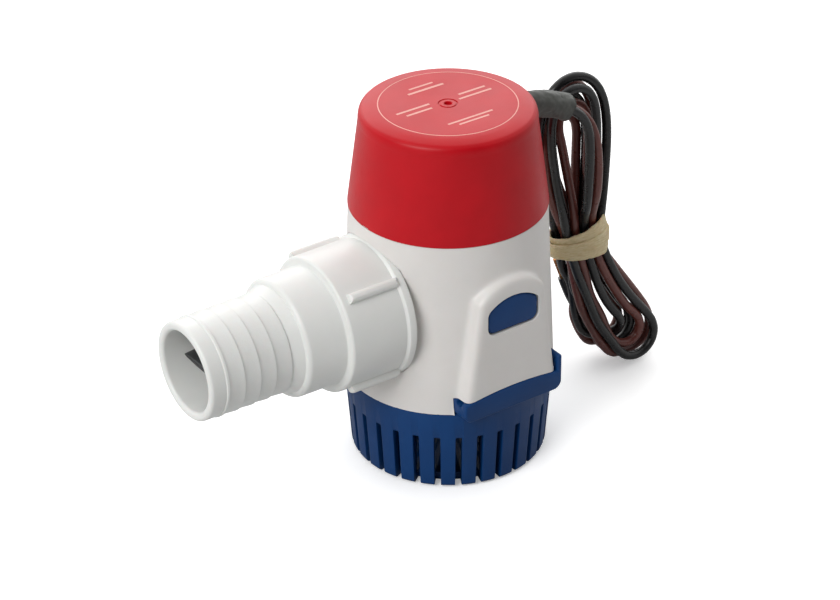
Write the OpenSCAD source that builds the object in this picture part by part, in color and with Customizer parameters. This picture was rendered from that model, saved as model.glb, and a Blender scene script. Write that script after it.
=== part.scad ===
// Submersible bilge pump: a slatted strainer foot, a housing with two release panels,
// a barbed hose nozzle with a check valve, a sealed motor, a cap and a tied hank of leads.
// The origin is the centre of the strainer's underside, on the pump's axis. The nozzle points to -X.

/* [Body] */
// Radius of the housing at its foot
body_r = 30.6; // [30:0.1:38]
// Radius of the housing and the cap where they meet
neck_r = 28.3; // [28:0.1:32]
// Height of the strainer's rim, where the housing stands
rim_z = 25.9; // [24:0.1:34]
// Height of the housing, from the rim to the cap
housing_h = 52.5; // [50:0.5:70]
// Height of the cap
cap_h = 30.3; // [28:0.1:38]
// Housing wall
wall = 2.5; // [2:0.1:3]

/* [Strainer] */
// How much narrower the strainer's foot is than its rim
foot_taper = 1.8; // [0.5:0.1:3]
// Number of slots round the strainer
slot_count = 30; // [16:2:36]
// Width of one slot
slot_w = 1.9; // [1.2:0.1:2.6]
// Solid band between the slots and the rim
rim_band = 8.4; // [5:0.1:10]
// Strainer wall
slat_t = 2.3; // [1.8:0.1:3]
// Thickness of the strainer's floor
floor_t = 2.4; // [2:0.1:4]
// Distance between the two fixing holes
fixing_pitch = 34; // [26:1:40]
// Radius of a fixing hole
fixing_r = 2.3; // [1.5:0.1:3]

/* [Release panels] */
// How far a panel's face stands out past the housing's foot
panel_proud = 0.6; // [0.3:0.1:2]
// Half the width of a panel at its foot
panel_half_foot = 15.6; // [14:0.1:18]
// Half the width of a panel below its arch
panel_half_top = 12.6; // [11.5:0.1:14]
// Height of a panel's foot above the rim
panel_foot_up = 5.6; // [4:0.1:7]
// Height of a panel's arch above the rim
panel_top_up = 41.4; // [38:0.1:46]
// Panel wall
panel_t = 1.8; // [1.4:0.1:2.2]
// Half the width of the window
window_half = 8.9; // [7:0.1:9.5]
// Height of the window
window_h = 10.8; // [8:0.1:12]
// Distance from the window's top to the arch's top
window_down = 5.2; // [4:0.1:8]
// Gap round a tab in its window
tab_gap = 0.35; // [0.3:0.05:0.6]

/* [Nozzle] */
// Radius of the hose that the nozzle takes
hose_r = 14.3; // [12:0.1:18]
// Wall at the nozzle's mouth
mouth_wall = 2.6; // [2:0.1:3]
// Height of the nozzle's axis above the rim
nozzle_up = 27.5; // [24:0.1:30]
// Length of the nozzle from its seat in the housing to its mouth
nozzle_len = 62.8; // [56:0.1:80]
// Number of ring lines on the barb
ring_count = 5; // [3:1:6]
// Distance between two ring lines
ring_pitch = 4.95; // [4:0.05:6]
// How far the middle stretch stands out past the barb
mid_step = 3.1; // [2:0.1:5]
// How far the collar stands out past the middle stretch
collar_step = 2.5; // [2:0.1:5]
// Length of the collar
collar_len = 20.8; // [18:0.1:24]
// Collar wall
collar_wall = 2.7; // [2.4:0.1:4]

/* [Motor] */
// Radius of the motor's can
motor_r = 18.4; // [15:0.1:18.6]
// Radius of the shaft
shaft_r = 1.6; // [1.2:0.1:2]
// Radius of the impeller
impeller_r = 17; // [14:0.1:19]
// Number of impeller vanes
vane_count = 6; // [4:1:8]
// Wall of the dry canister round the motor
canister_wall = 1.9; // [1.5:0.1:2.2]

/* [Leads] */
// Radius of one lead
lead_r = 1.4; // [1.2:0.05:1.45]
// Outer radius of the strain relief sleeve
sleeve_r = 4.4; // [4:0.1:4.6]

/* [Hidden] */

$fn = 96;
HULL_FN = 32;
EPS = 0.01;
FAR = 200;

// Clearances
rest_gap = 0.3;      // between parts that move past each other
run_gap = 0.05;      // round a running shaft or a seal
seat_gap = 0.15;     // between parts that are fixed together

// Levels of the case
cap_z = rim_z + housing_h;
top_z = cap_z + cap_h;
slot_top = rim_z - rim_band;
rim_r = body_r - 0.2;
foot_r = rim_r - foot_taper;
edge_round = 1.2;
spigot_h = 1.3;
body_slope = (body_r - neck_r) / housing_h;
function body_r_at(z) = body_r - body_slope * (z - rim_z);

// Release panels
panel_y = body_r + panel_proud;
panel_foot = rim_z + panel_foot_up;
panel_top = rim_z + panel_top_up;
arch_r = panel_half_top + 1.9;
arch_z = panel_top - arch_r;
foot_arch = 1.2;
foot_arch_r = panel_half_foot * panel_half_foot / (2 * foot_arch);
window_top = panel_top - window_down;
window_foot = window_top - window_h;
window_round = 2.6;
window_arch_r = 13;
panel_round = 2.4;
tab_y = panel_y - 0.25;
arm_t = 2.0;
arm_front = panel_y - panel_t - 0.25;
arm_back = arm_front - arm_t;
tab_travel = 4;
pivot_z = panel_foot - 0.4;
pivot_r = 1.0;
tab_throw = (panel_top - pivot_z) * sin(tab_travel);
pocket_back = arm_back - tab_throw - 0.3;
pocket_wall = 2.0;
wet_half = pocket_back - pocket_wall;
lug_half = panel_half_foot + 0.9;
lug_y = panel_y + 0.2;
lug_round = 2.6;
stop_h = 5;
stop_t = 1.5;
lug_end = panel_half_foot + rest_gap + stop_t;

// Outlet and nozzle, along -X
nozzle_z = rim_z + nozzle_up;
seat_x = body_r_at(nozzle_z) - 4.1;
bore_r = hose_r - mouth_wall;
mid_r = hose_r + mid_step;
collar_r = mid_r + collar_step;
collar_flare = 1.0;
collar_band = 2.2;
socket_r = collar_r - collar_wall;
stub_r = socket_r - 0.2;
port_r = stub_r - 4.6;
collar_back = seat_x + seat_gap;
collar_front = collar_back + collar_len;
mouth_x = seat_x + nozzle_len;
stub_end = collar_front - 5;
mouth_land = 5.7;
first_ring = mouth_x - mouth_land;
last_ring = first_ring - (ring_count - 1) * ring_pitch;
mid_front = last_ring - 3.6;
barb_rise = 0.35;
rib_w = 2.7;
rib_h = 1.5;
rib_y = collar_r * cos(45) - rib_w / 2;
rib_back = sqrt(pow(body_r_at(nozzle_z - collar_r), 2) - rib_y * rib_y) + rest_gap - collar_back;
rib_front = collar_len - 2.4;
rib_angles = [45, 135, 225, 315];
valve_flange_t = 1.5;
valve_r = bore_r - 0.6;
valve_t = 1.1;
valve_tip = mouth_x - 5;
valve_x = stub_end + 0.1;

// Motor and wet end, upwards
plate_z = rim_z + spigot_h + 0.1;
plate_t = 2.0;
eye_r = 9.5;
vane_z = plate_z + plate_t + 0.8;
vane_h = 5.6;
disc_t = 1.5;
hub_r = 4;
hub_top = vane_z + vane_h + disc_t + 1.6;
retainer_t = 0.8;
canister_z = hub_top + 0.5 + retainer_t;
canister_floor = 2.5;
canister_in = motor_r + 0.1;
canister_r = canister_in + canister_wall;
flange_t = 2.0;
flange_top = cap_z - 1.0;
ledge_t = 2.0;
ledge_z = flange_top - flange_t - ledge_t;
inner_slope = (body_r - neck_r) / (ledge_z - rim_z);
function inner_r_at(z) = body_r - wall - inner_slope * (z - rim_z);
spigot_r = inner_r_at(rim_z + spigot_h) - seat_gap;
seat_boss_r = collar_r + 3;
motor_z = canister_z + canister_floor;
can_t = 1.2;
motor_top = cap_z + 11.6;
bush_r = 3.4;
seal_r = 6;
shaft_top = motor_top + 2.4;
magnet_t = 3.4;
magnet_r = motor_r - can_t;
magnet_h = 28;
magnet_z = motor_z + 7.5;
core_r = magnet_r - magnet_t - 0.7;
core_h = 22;
core_z = magnet_z + (magnet_h - core_h) / 2;
core_hub = 4.2;
pole_count = 5;
pole_w = 3.6;
pole_cap = 2.2;
pole_gap = 1.6;
end_turn_h = 4;
commutator_r = 4.4;
commutator_h = 6;
commutator_z = motor_top - 10;
washer_t = 0.5;
bell_t = 2.5;
brush_w = 3;
brush_h = 4;
brush_len = 3.6;
brush_z = commutator_z + 1;
arm_leaf = 0.4;
arm_reach = sqrt(pow(motor_r - can_t - 2.55, 2) - pow(commutator_r + brush_len + arm_leaf, 2));
terminal_y = 10;
terminal_h = 5;

// Cap
cap_t = 2.2;
cap_top_r = neck_r - 3.2;
shoulder_z = top_z - 4.3;
crown_r = cap_top_r - 5.6;
dimple_r = 1.1;
dimple_ring_r = 2.8;
notch_w = 3.2;
cord_seal_r = 0.9;
seal_seat_r = neck_r - wall - 1.5;

// Strain relief: one arc from inside the cap, through its wall and down
sleeve_z = top_z - 8.1;
sleeve_in = cap_top_r - 5;
sleeve_bend_r = 45;
sleeve_bend = 29;
sleeve_bore = 2 * lead_r + 0.4;
lead_side = lead_r + 0.15;
sleeve_end_x = sleeve_in + sleeve_bend_r * sin(sleeve_bend);
sleeve_end_z = sleeve_z - sleeve_bend_r * (1 - cos(sleeve_bend));

// Leads outside the sleeve: each runs down the near side of the hank and dips in above the band
LEAD_SIDES = 8;
black_route = [[46, -1.9, 92.6], [48, -2.4, 88], [48.6, -2.6, 81], [48.8, -2.5, 74], [49, -2, 66], [49.4, -0.6, 59], [50, 2, 54]];
brown_route = [[46.6, 1.5, 92.8], [50, 0.4, 89.6], [51.8, -1, 84], [52.4, -1.8, 77], [52.6, -1.8, 70], [52.8, -1, 62.5],
  [53, 2, 55]];

// Hank: two wide ends and a narrow waist in a plane that leans back, standing on the floor
hank_t = 13;
hank_lean = 5.4;
hank_foot_y = 1.6;
hank_top = [53, 86];
hank_top_r = 12.3;
hank_waist = [52.6, 46];
hank_waist_r = 7;
hank_foot = [68, 13.4];
hank_foot_r = 12;
band_h = 13;
band_t = 1.2;
band_turn = 12;

// Joins points into a closed tube. Each ring faces along the route, and the first can be given.
function unit(v) = v / norm(v);
function along(route, i) =
  i == 0 ? unit(route[1] - route[0]) :
  i == len(route) - 1 ? unit(route[i] - route[i - 1]) :
  unit(unit(route[i + 1] - route[i]) + unit(route[i] - route[i - 1]));
function tube_ring(centre, way, r) =
  let (side = unit(cross(way, [0, 1, 0.001])), up = cross(side, way))
  [for (k = [0 : LEAD_SIDES - 1])
    centre + r * (cos(360 * k / LEAD_SIDES) * side + sin(360 * k / LEAD_SIDES) * up)];

module tube(route, r, first_way = undef, last_way = undef) {
  n = len(route);
  rings = [for (i = [0 : n - 1])
    each tube_ring(
      route[i],
      i == 0 && !is_undef(first_way) ? first_way : i == n - 1 && !is_undef(last_way) ? last_way : along(route, i),
      r)];
  sides = [for (i = [0 : n - 2], k = [0 : LEAD_SIDES - 1])
    let (a = i * LEAD_SIDES + k, b = i * LEAD_SIDES + (k + 1) % LEAD_SIDES)
    [a, b, b + LEAD_SIDES, a + LEAD_SIDES]];
  first = [[for (k = [LEAD_SIDES - 1 : -1 : 0]) k]];
  last = [[for (k = [0 : LEAD_SIDES - 1]) (n - 1) * LEAD_SIDES + k]];
  polyhedron(points = rings, faces = concat(sides, first, last), convexity = 6);
}

// Cylinder along -X from distance a to distance b from the pump's axis, at the nozzle's height
module along_nozzle(a, b, r) {
  translate([-a, 0, nozzle_z]) rotate([0, -90, 0]) cylinder(h = b - a, r = r);
}

// Copies its child to the far side of the pump, half a turn round the axis
module both_sides() {
  children();
  rotate([0, 0, 180]) children();
}

// Front outline of a panel, drawn in X and height, pulled in by inset
module panel_outline(inset, foot) {
  slope = (panel_half_foot - panel_half_top) / (arch_z - panel_foot);
  rise = arch_z + arch_r - foot;
  low = panel_half_foot + slope * (panel_foot - foot) - inset;
  high = low - slope * rise;
  intersection() {
    polygon([[-low, foot], [low, foot], [high, foot + rise], [-high, foot + rise]]);
    union() {
      translate([0, arch_z]) circle(r = arch_r - inset);
      translate([-FAR / 2, foot]) square([FAR, arch_z - foot]);
    }
  }
}

module window_outline(inset) {
  half = window_half - inset;
  low = window_foot + inset;
  intersection() {
    hull() {
      for (side = [-1, 1]) {
        translate([side * (half - window_round), low + window_round]) circle(r = window_round);
        translate([side * (half - window_round), window_top]) circle(r = window_round);
      }
    }
    translate([0, window_top - window_arch_r]) circle(r = window_arch_r - inset);
  }
}

// Stands an outline up and gives it depth from y = -front to y = -back on the near side
module stand(front, back) {
  translate([0, -back, 0]) rotate([90, 0, 0]) linear_extrude(front - back) children();
}

// Arc under a panel's foot
module foot_arc(lift) {
  translate([0, panel_foot + foot_arch - foot_arch_r + lift]) circle(r = foot_arch_r, $fn = 360);
}

module strainer() {
  color("#103868") {
    difference() {
      rotate_extrude() {
        polygon(concat(
          [[0, 0], [foot_r - edge_round, 0]],
          [for (a = [-60 : 30 : 0]) [foot_r - edge_round + edge_round * cos(a), edge_round + edge_round * sin(a)]],
          [[rim_r, rim_z - 1], [rim_r, rim_z], [spigot_r, rim_z], [spigot_r, rim_z + spigot_h],
            [rim_r - 4.4, rim_z + spigot_h],
            [rim_r - 4.4, slot_top + 1], [foot_r - slat_t, floor_t], [0, floor_t]]));
      }
      for (i = [0 : slot_count - 1]) {
        rotate([0, 0, i * 360 / slot_count])
          translate([foot_r - slat_t - 1.6, -slot_w / 2, -1]) cube([10, slot_w, slot_top + 1]);
      }
      for (side = [-1, 1]) {
        translate([side * fixing_pitch / 2, 0, -1]) cylinder(h = floor_t + 2, r = fixing_r);
      }
      both_sides() strainer_cutback();
    }
    both_sides() strainer_lug();
  }
}

// Clears the spigot where the wall of the housing's pocket comes down
module strainer_cutback() {
  translate([-FAR / 2, seat_gap - wet_half - FAR, rim_z]) cube([FAR, FAR, 10]);
}

// Lug under a panel. One end has a stop that rises beside the panel.
module strainer_lug() {
  difference() {
    intersection() {
      stand(FAR, 0) lug_front();
      linear_extrude(FAR) lug_plan();
    }
    translate([-FAR / 2, -(arm_front + arm_back) / 2, pivot_z]) rotate([0, 90, 0])
      cylinder(h = FAR, r = pivot_r + rest_gap);
    translate([-window_half - rest_gap, -arm_front - rest_gap, pivot_z - pivot_r - rest_gap])
      cube([2 * window_half + 2 * rest_gap, arm_front, FAR]);
  }
}

// Lug seen from the front: rounded below, and arched to the panel's foot above
module lug_front() {
  low = rim_z - 0.6;
  stop_top = panel_foot + stop_h;
  difference() {
    union() {
      hull() {
        translate([lug_round - lug_half, low + lug_round]) circle(r = lug_round);
        translate([lug_end - lug_round, low + lug_round]) circle(r = lug_round);
        translate([-lug_half, panel_foot - 0.5]) square([lug_half + lug_end, 0.5 + foot_arch]);
      }
      hull() {
        translate([lug_end - stop_t / 2, stop_top - stop_t / 2]) circle(r = stop_t / 2);
        translate([lug_end - stop_t, panel_foot]) square([stop_t, 1]);
      }
    }
    difference() {
      translate([-FAR, panel_foot - 3]) square([FAR + lug_end - stop_t, FAR]);
      foot_arc(-seat_gap);
    }
  }
}

// Lug seen from above, with round corners at its face
module lug_plan() {
  hull() {
    for (x = [lug_round - lug_half, lug_end - lug_round]) {
      translate([x, lug_round - lug_y]) circle(r = lug_round);
    }
    translate([-lug_half, -arm_back]) square([lug_half + lug_end, 0.2]);
  }
}

module release_tab() {
  color("#143362") {
    stand(arm_front, arm_back) {
      difference() {
        union() {
          translate([-window_half + 0.4, pivot_z]) square([2 * window_half - 0.8, window_foot + 3 - pivot_z]);
          window_outline(-0.3);
        }
        translate([0, pivot_z + 12]) circle(r = 4);
      }
    }
    stand(tab_y, arm_back + EPS) window_outline(tab_gap);
    translate([-window_half + 0.4, -(arm_front + arm_back) / 2, pivot_z]) rotate([0, 90, 0])
      cylinder(h = 2 * window_half - 0.8, r = pivot_r);
  }
}

module release_tab_near() {
  release_tab();
}

module release_tab_far() {
  rotate([0, 0, 180]) release_tab();
}

// One panel with soft edges, before it is hollowed
module panel() {
  hull() {
    stand(panel_y, panel_y - 0.2) panel_outline(panel_round * 0.9, rim_z - 1);
    stand(panel_y - panel_round * 0.3, panel_y - panel_round * 0.3 - 0.2) panel_outline(panel_round * 0.28, rim_z - 1);
    stand(panel_y - panel_round, body_r * 0.6) panel_outline(0, rim_z - 1);
  }
}

// Space behind a panel for its tab, open at the foot
module panel_pocket() {
  stand(panel_y - panel_t, pocket_back) panel_outline(panel_t + 0.5, rim_z - 2);
}

module housing() {
  color("#D5D2D0") {
    difference() {
      union() {
        rotate_extrude() {
          polygon([[0, rim_z], [body_r, rim_z], [neck_r, cap_z], [0, cap_z]]);
        }
        intersection() {
          both_sides() panel();
          translate([-FAR / 2, -FAR / 2, rim_z]) cube([FAR, FAR, FAR]);
        }
      }
      difference() {
        rotate_extrude() {
          polygon([[0, rim_z - 1], [inner_r_at(rim_z - 1), rim_z - 1], [neck_r - wall, ledge_z], [0, ledge_z]]);
        }
        both_sides() housing_pocket_wall();
        intersection() {
          along_nozzle(seat_x - 3, seat_x + 10, seat_boss_r);
          translate([-FAR, -FAR / 2, plate_z + plate_t + seat_gap]) cube([FAR, FAR, FAR]);
        }
      }
      rotate_extrude() {
        polygon([[0, ledge_z - 1], [neck_r - wall - 2, ledge_z - 1], [neck_r - wall - 2, ledge_z + ledge_t],
          [neck_r - wall, ledge_z + ledge_t], [neck_r - wall, cap_z + 1], [0, cap_z + 1]]);
      }
      both_sides() {
        panel_pocket();
        stand(FAR, panel_y - panel_t - 1) window_outline(0);
        stand(FAR, pocket_back) {
          intersection() {
            translate([-panel_half_foot - 0.9 - seat_gap, 0]) square([2 * panel_half_foot + 1.8 + 2 * seat_gap, FAR]);
            foot_arc(0);
          }
        }
      }
      along_nozzle(seat_x, FAR, collar_r + collar_flare + seat_gap);
      along_nozzle(seat_x - 6, FAR, port_r);
    }
    difference() {
      along_nozzle(seat_x - 1, stub_end, stub_r);
      along_nozzle(seat_x - 6, FAR, port_r);
      nozzle_seal_groove();
    }
  }
}

module housing_pocket_wall() {
  stand(FAR, wet_half) panel_outline(-0.6, rim_z - 2);
}

module nozzle_seal_groove() {
  translate([-seat_x - 3, 0, nozzle_z]) rotate([0, -90, 0]) {
    difference() {
      cylinder(h = 2.2, r = stub_r + 1);
      translate([0, 0, -1]) cylinder(h = 5, r = stub_r - 1.5);
    }
  }
}

module nozzle_seal() {
  color("#202224")
    translate([-seat_x - 4.1, 0, nozzle_z]) rotate([0, -90, 0]) rotate_extrude()
      translate([socket_r - run_gap - 0.8, 0]) circle(r = 0.8, $fn = 32);
}

module inlet_plate() {
  color("#D5D2D0") {
    difference() {
      union() {
        intersection() {
          translate([0, 0, plate_z]) cylinder(h = plate_t, r = inner_r_at(plate_z + plate_t) - seat_gap);
          translate([-FAR / 2, -wet_half + seat_gap, 0]) cube([FAR, 2 * wet_half - 2 * seat_gap, FAR]);
        }
        translate([0, 0, plate_z - 4.5]) cylinder(h = 5, r = eye_r + 2);
        for (a = [45 : 90 : 315]) {
          rotate([0, 0, a]) translate([eye_r + 1, -0.8, plate_z - 2.4]) cube([10, 1.6, 3]);
        }
      }
      translate([0, 0, plate_z - 6]) cylinder(h = plate_t + 10, r = eye_r);
    }
  }
}

module motor_canister() {
  color("#E4E3E0") {
    difference() {
      rotate_extrude() {
        polygon([[seal_r + 0.05, canister_z], [canister_r, canister_z], [canister_r, flange_top - flange_t],
          [neck_r - wall - seat_gap, flange_top - flange_t], [neck_r - wall - seat_gap, flange_top],
          [canister_in, flange_top], [canister_in, motor_z], [seal_r + 0.05, motor_z]]);
      }
      along_nozzle(seat_x - seat_gap, FAR, collar_r + collar_flare + rest_gap);
    }
  }
}

module shaft_seal() {
  color("#26282A") {
    rotate_extrude() {
      polygon([[shaft_r + run_gap, canister_z], [seal_r, canister_z], [seal_r, motor_z - 0.1], [seal_r - 1.2, motor_z - 0.1],
        [seal_r - 1.2, canister_z + 1], [shaft_r + 1.2, canister_z + 0.9], [shaft_r + 0.8, motor_z - 0.5],
        [shaft_r + run_gap, motor_z - 0.5]]);
    }
  }
}

module seal_retainer() {
  color("#8C9094") {
    difference() {
      translate([0, 0, canister_z - retainer_t]) cylinder(h = retainer_t, r = seal_r + 2.5);
      translate([0, 0, canister_z - retainer_t - 1]) cylinder(h = retainer_t + 2, r = shaft_r + 1);
    }
  }
}

module motor_can() {
  color("#A7ABAE") {
    rotate_extrude() {
      polygon([[bush_r, motor_z], [motor_r, motor_z], [motor_r, motor_top], [motor_r - can_t, motor_top],
        [motor_r - can_t, motor_z + can_t], [bush_r, motor_z + can_t]]);
    }
  }
}

module field_magnets() {
  color("#3A3B3D") {
    for (turn = [20, 200]) {
      rotate([0, 0, turn]) translate([0, 0, magnet_z]) rotate_extrude(angle = 140)
        translate([magnet_r - magnet_t, 0]) square([magnet_t, magnet_h]);
    }
  }
}

module bush(z, h) {
  difference() {
    translate([0, 0, z]) cylinder(h = h, r = bush_r);
    translate([0, 0, z - 1]) cylinder(h = h + 2, r = shaft_r + run_gap);
  }
}

module lower_bush() {
  color("#A8763E") bush(motor_z, 4);
}

module upper_bush() {
  color("#A8763E") bush(motor_top - 1, 4);
}

module end_bell() {
  color("#2B2D30") {
    difference() {
      union() {
        translate([0, 0, motor_top]) cylinder(h = bell_t, r = motor_r);
        translate([0, 0, motor_top - 3]) cylinder(h = 3 + EPS, r = motor_r - can_t - 0.05);
        translate([0, 0, motor_top]) cylinder(h = bell_t + 2.4, r = bush_r + 2.4);
      }
      translate([0, 0, motor_top - 1]) cylinder(h = 4, r = bush_r);
      translate([0, 0, motor_top - 4]) cylinder(h = 3.5, r = commutator_r + 1);
      for (side = [-1, 1]) {
        translate([-2.2, side * terminal_y - 0.35, motor_top - 5]) cube([4.4, 0.7, bell_t + 8]);
      }
    }
  }
}

module brushes() {
  color("#303134") {
    difference() {
      both_sides() {
        translate([commutator_r - 0.6, -brush_w / 2, brush_z]) cube([brush_len + 0.6, brush_w, brush_h]);
      }
      translate([0, 0, brush_z - 1]) cylinder(h = brush_h + 2, r = commutator_r + 0.06);
    }
  }
}

// Leaf that carries a brush and presses it inwards, with a foot under the end bell
module brush_arms() {
  color("#B98D3F") {
    both_sides() {
      translate([commutator_r + brush_len, -arm_reach, brush_z]) cube([arm_leaf, arm_reach + 2, brush_h]);
      translate([commutator_r + brush_len, -arm_reach, brush_z]) cube([arm_leaf, 3, motor_top - 3 - brush_z]);
    }
  }
}

module terminals() {
  color("#C9CBCD") {
    for (side = [-1, 1]) {
      translate([-2.1, side * terminal_y - 0.3, motor_top - 4]) cube([4.2, 0.6, bell_t + 4 + terminal_h]);
    }
  }
}

module lead_connectors() {
  color("#B03A34") {
    for (side = [-1, 1]) {
      difference() {
        translate([-3, side * terminal_y - 1.5, motor_top + bell_t + 0.5]) cube([6, 3, terminal_h + 1.2]);
        translate([-2.15, side * terminal_y - 0.35, motor_top]) cube([4.3, 0.7, bell_t + terminal_h + 0.05]);
      }
    }
  }
}

module shaft() {
  color("#C5C8CB") translate([0, 0, vane_z - 0.6]) cylinder(h = shaft_top - vane_z + 0.6, r = shaft_r);
}

module armature_core() {
  color("#6E7174") {
    translate([0, 0, core_z]) linear_extrude(core_h) {
      difference() {
        union() {
          circle(r = core_hub);
          for (i = [0 : pole_count - 1]) {
            rotate(i * 360 / pole_count) translate([0, -pole_w / 2]) square([core_r - pole_cap / 2, pole_w]);
          }
          difference() {
            circle(r = core_r);
            circle(r = core_r - pole_cap);
            for (i = [0 : pole_count - 1]) {
              rotate((i + 0.5) * 360 / pole_count) translate([0, -pole_gap / 2]) square([core_r + 1, pole_gap]);
            }
          }
        }
        circle(r = shaft_r);
      }
    }
  }
}

// Wire that fills the slots between the poles and turns over the core's two ends
module windings() {
  color("#8E4A22") {
    translate([0, 0, core_z]) linear_extrude(core_h) {
      difference() {
        circle(r = core_r - pole_cap - 0.05);
        circle(r = core_hub);
        for (i = [0 : pole_count - 1]) {
          rotate(i * 360 / pole_count) translate([0, -pole_w / 2]) square([core_r, pole_w]);
          rotate((i + 0.5) * 360 / pole_count) translate([0, -0.8]) square([core_r, 1.6]);
        }
      }
    }
    for (z = [core_z - end_turn_h, core_z + core_h]) {
      translate([0, 0, z]) {
        difference() {
          cylinder(h = end_turn_h, r = core_r - pole_cap - 0.05);
          translate([0, 0, -1]) cylinder(h = end_turn_h + 2, r = core_hub);
        }
      }
    }
  }
}

module commutator() {
  color("#B4703A") {
    difference() {
      translate([0, 0, commutator_z]) cylinder(h = commutator_h, r = commutator_r);
      translate([0, 0, commutator_z - 1]) cylinder(h = commutator_h + 2, r = shaft_r);
      for (i = [0 : pole_count - 1]) {
        rotate([0, 0, (i + 0.5) * 360 / pole_count])
          translate([commutator_r - 0.8, -0.2, commutator_z + 0.8]) cube([2, 0.4, commutator_h]);
      }
    }
  }
}

module spacer_washers() {
  color("#E9E4D6") {
    for (z = [motor_z + 4.2, motor_top - 1 - 0.2 - washer_t]) {
      difference() {
        translate([0, 0, z]) cylinder(h = washer_t, r = shaft_r + 1.2);
        translate([0, 0, z - 1]) cylinder(h = washer_t + 2, r = shaft_r);
      }
    }
  }
}

// Curved vane, drawn as the part of a thin ring that runs from the hub to the rim
module vane() {
  vane_arc = impeller_r * 0.75;
  intersection() {
    difference() {
      translate([0, vane_arc]) circle(r = vane_arc + 0.7);
      translate([0, vane_arc]) circle(r = vane_arc - 0.7);
    }
    difference() {
      circle(r = impeller_r - 0.3);
      circle(r = hub_r - 0.6);
    }
    square([FAR, FAR]);
  }
}

module impeller() {
  color("#E8E6DF") {
    difference() {
      union() {
        translate([0, 0, vane_z]) linear_extrude(vane_h + 0.1) {
          for (i = [0 : vane_count - 1]) {
            rotate(i * 360 / vane_count) vane();
          }
        }
        translate([0, 0, vane_z + vane_h]) cylinder(h = disc_t, r = impeller_r);
        translate([0, 0, vane_z]) cylinder(h = hub_top - vane_z, r = hub_r);
      }
      translate([0, 0, vane_z - 1]) cylinder(h = FAR, r = shaft_r);
    }
  }
}

module impeller_clip() {
  color("#9DA1A4") {
    difference() {
      translate([0, 0, vane_z - 0.6]) cylinder(h = 0.6, r = shaft_r + 1.6);
      translate([0, 0, vane_z - 1]) cylinder(h = 2, r = shaft_r);
    }
  }
}

module cap() {
  inner_top = top_z - cap_t;
  color("#C8242C") {
    difference() {
      rotate_extrude() {
        polygon(concat(
          [[0, cap_z], [neck_r + 0.1, cap_z], [neck_r + 0.1, cap_z + 0.6], [cap_top_r, shoulder_z]],
          [for (a = [20 : 20 : 80]) [cap_top_r - 0.9 + 0.9 * cos(a), shoulder_z + 2.9 * sin(a)]],
          [[cap_top_r - 1.3, top_z - 1], [cap_top_r - 3.4, top_z - 0.35], [crown_r, top_z], [0, top_z]]));
      }
      rotate_extrude() {
        polygon([[0, cap_z - 1], [neck_r - cap_t, cap_z - 1], [neck_r - cap_t, cap_z + 2 * cord_seal_r - 1],
          [seal_seat_r - 1.6, cap_z + 2 * cord_seal_r - 1], [seal_seat_r - 1.6, cap_z + 3],
          [neck_r - cap_t - 0.4, cap_z + 3], [cap_top_r - cap_t, shoulder_z], [cap_top_r - cap_t - 3, inner_top],
          [0, inner_top]]);
      }
      sleeve_body(sleeve_r);
      translate([0, 0, top_z - 0.8]) cylinder(h = 2, r = dimple_r);
      translate([0, 0, top_z - 0.3]) difference() {
        cylinder(h = 2, r = dimple_ring_r);
        translate([0, 0, -1]) cylinder(h = 4, r = dimple_ring_r - 0.5);
      }
      translate([-FAR - neck_r + 0.7, -notch_w / 2, cap_z - 1]) cube([FAR, notch_w, 1.5]);
    }
  }
}

module cap_seal() {
  color("#1D1F21")
    translate([0, 0, flange_top + cord_seal_r]) rotate_extrude()
      translate([seal_seat_r, 0]) circle(r = cord_seal_r, $fn = 32);
}

// Barbs as radius against distance from the pump's axis: each one rises towards the pump and drops behind its line
function ring_points() = [
  for (i = [ring_count - 1 : -1 : 0])
    let (x = first_ring - i * ring_pitch)
    each [[hose_r, x - 0.15], [hose_r + barb_rise, x + 0.15]]
];

module nozzle() {
  color("#D9DAD7") {
    translate([0, 0, nozzle_z]) rotate([0, -90, 0]) rotate_extrude() {
      polygon(concat(
        [[socket_r, collar_back], [collar_r + collar_flare, collar_back],
          [collar_r + collar_flare, collar_back + collar_band],
          [collar_r + collar_flare - 0.3, collar_back + collar_band + 0.3],
          [collar_r, collar_front - 0.8], [collar_r - 0.3, collar_front - 0.2], [collar_r - 0.9, collar_front],
          [mid_r, collar_front + 0.4], [mid_r - 0.1, mid_front - 1.6]],
        [for (a = [30 : 30 : 60]) [mid_r - 1.6 + 1.5 * cos(a), mid_front - 1.6 + 1.6 * sin(a)]],
        [[hose_r + 0.6, last_ring - 1.2]],
        ring_points(),
        [[hose_r, first_ring + 1], [hose_r, mouth_x - 0.8], [hose_r - 0.3, mouth_x - 0.2], [hose_r - 0.9, mouth_x],
          [bore_r + 0.5, mouth_x], [bore_r, mouth_x - 0.6], [bore_r, collar_front + 6],
          [valve_r + 2.2, valve_x + valve_flange_t + 0.1], [socket_r - 0.4, valve_x + valve_flange_t + 0.1],
          [socket_r, valve_x + valve_flange_t - 0.5]]));
    }
    for (a = rib_angles) {
      translate([-collar_back, 0, nozzle_z]) rotate([a, 0, 0]) grip_rib();
    }
  }
}

// Round-backed rib along the collar
module grip_rib() {
  length = rib_front - rib_back;
  base = collar_r - 1;
  lift = collar_flare * 0.5 + rib_h - rib_w / 2 + 1;
  translate([-rib_front, 0, base]) {
    translate([0, -rib_w / 2, 0]) cube([length, rib_w, lift]);
    translate([0, 0, lift]) rotate([0, 90, 0]) cylinder(h = length, r = rib_w / 2);
  }
}

// Duckbill valve: a flange, a round sleeve and two lips that meet in a level line
module bill(r, tip, half, tip_half) {
  hull() {
    along_nozzle(valve_x + 8, valve_x + 9, r, $fn = HULL_FN);
    translate([-tip, -half, nozzle_z - tip_half]) cube([1, 2 * half, 2 * tip_half]);
  }
}

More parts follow.
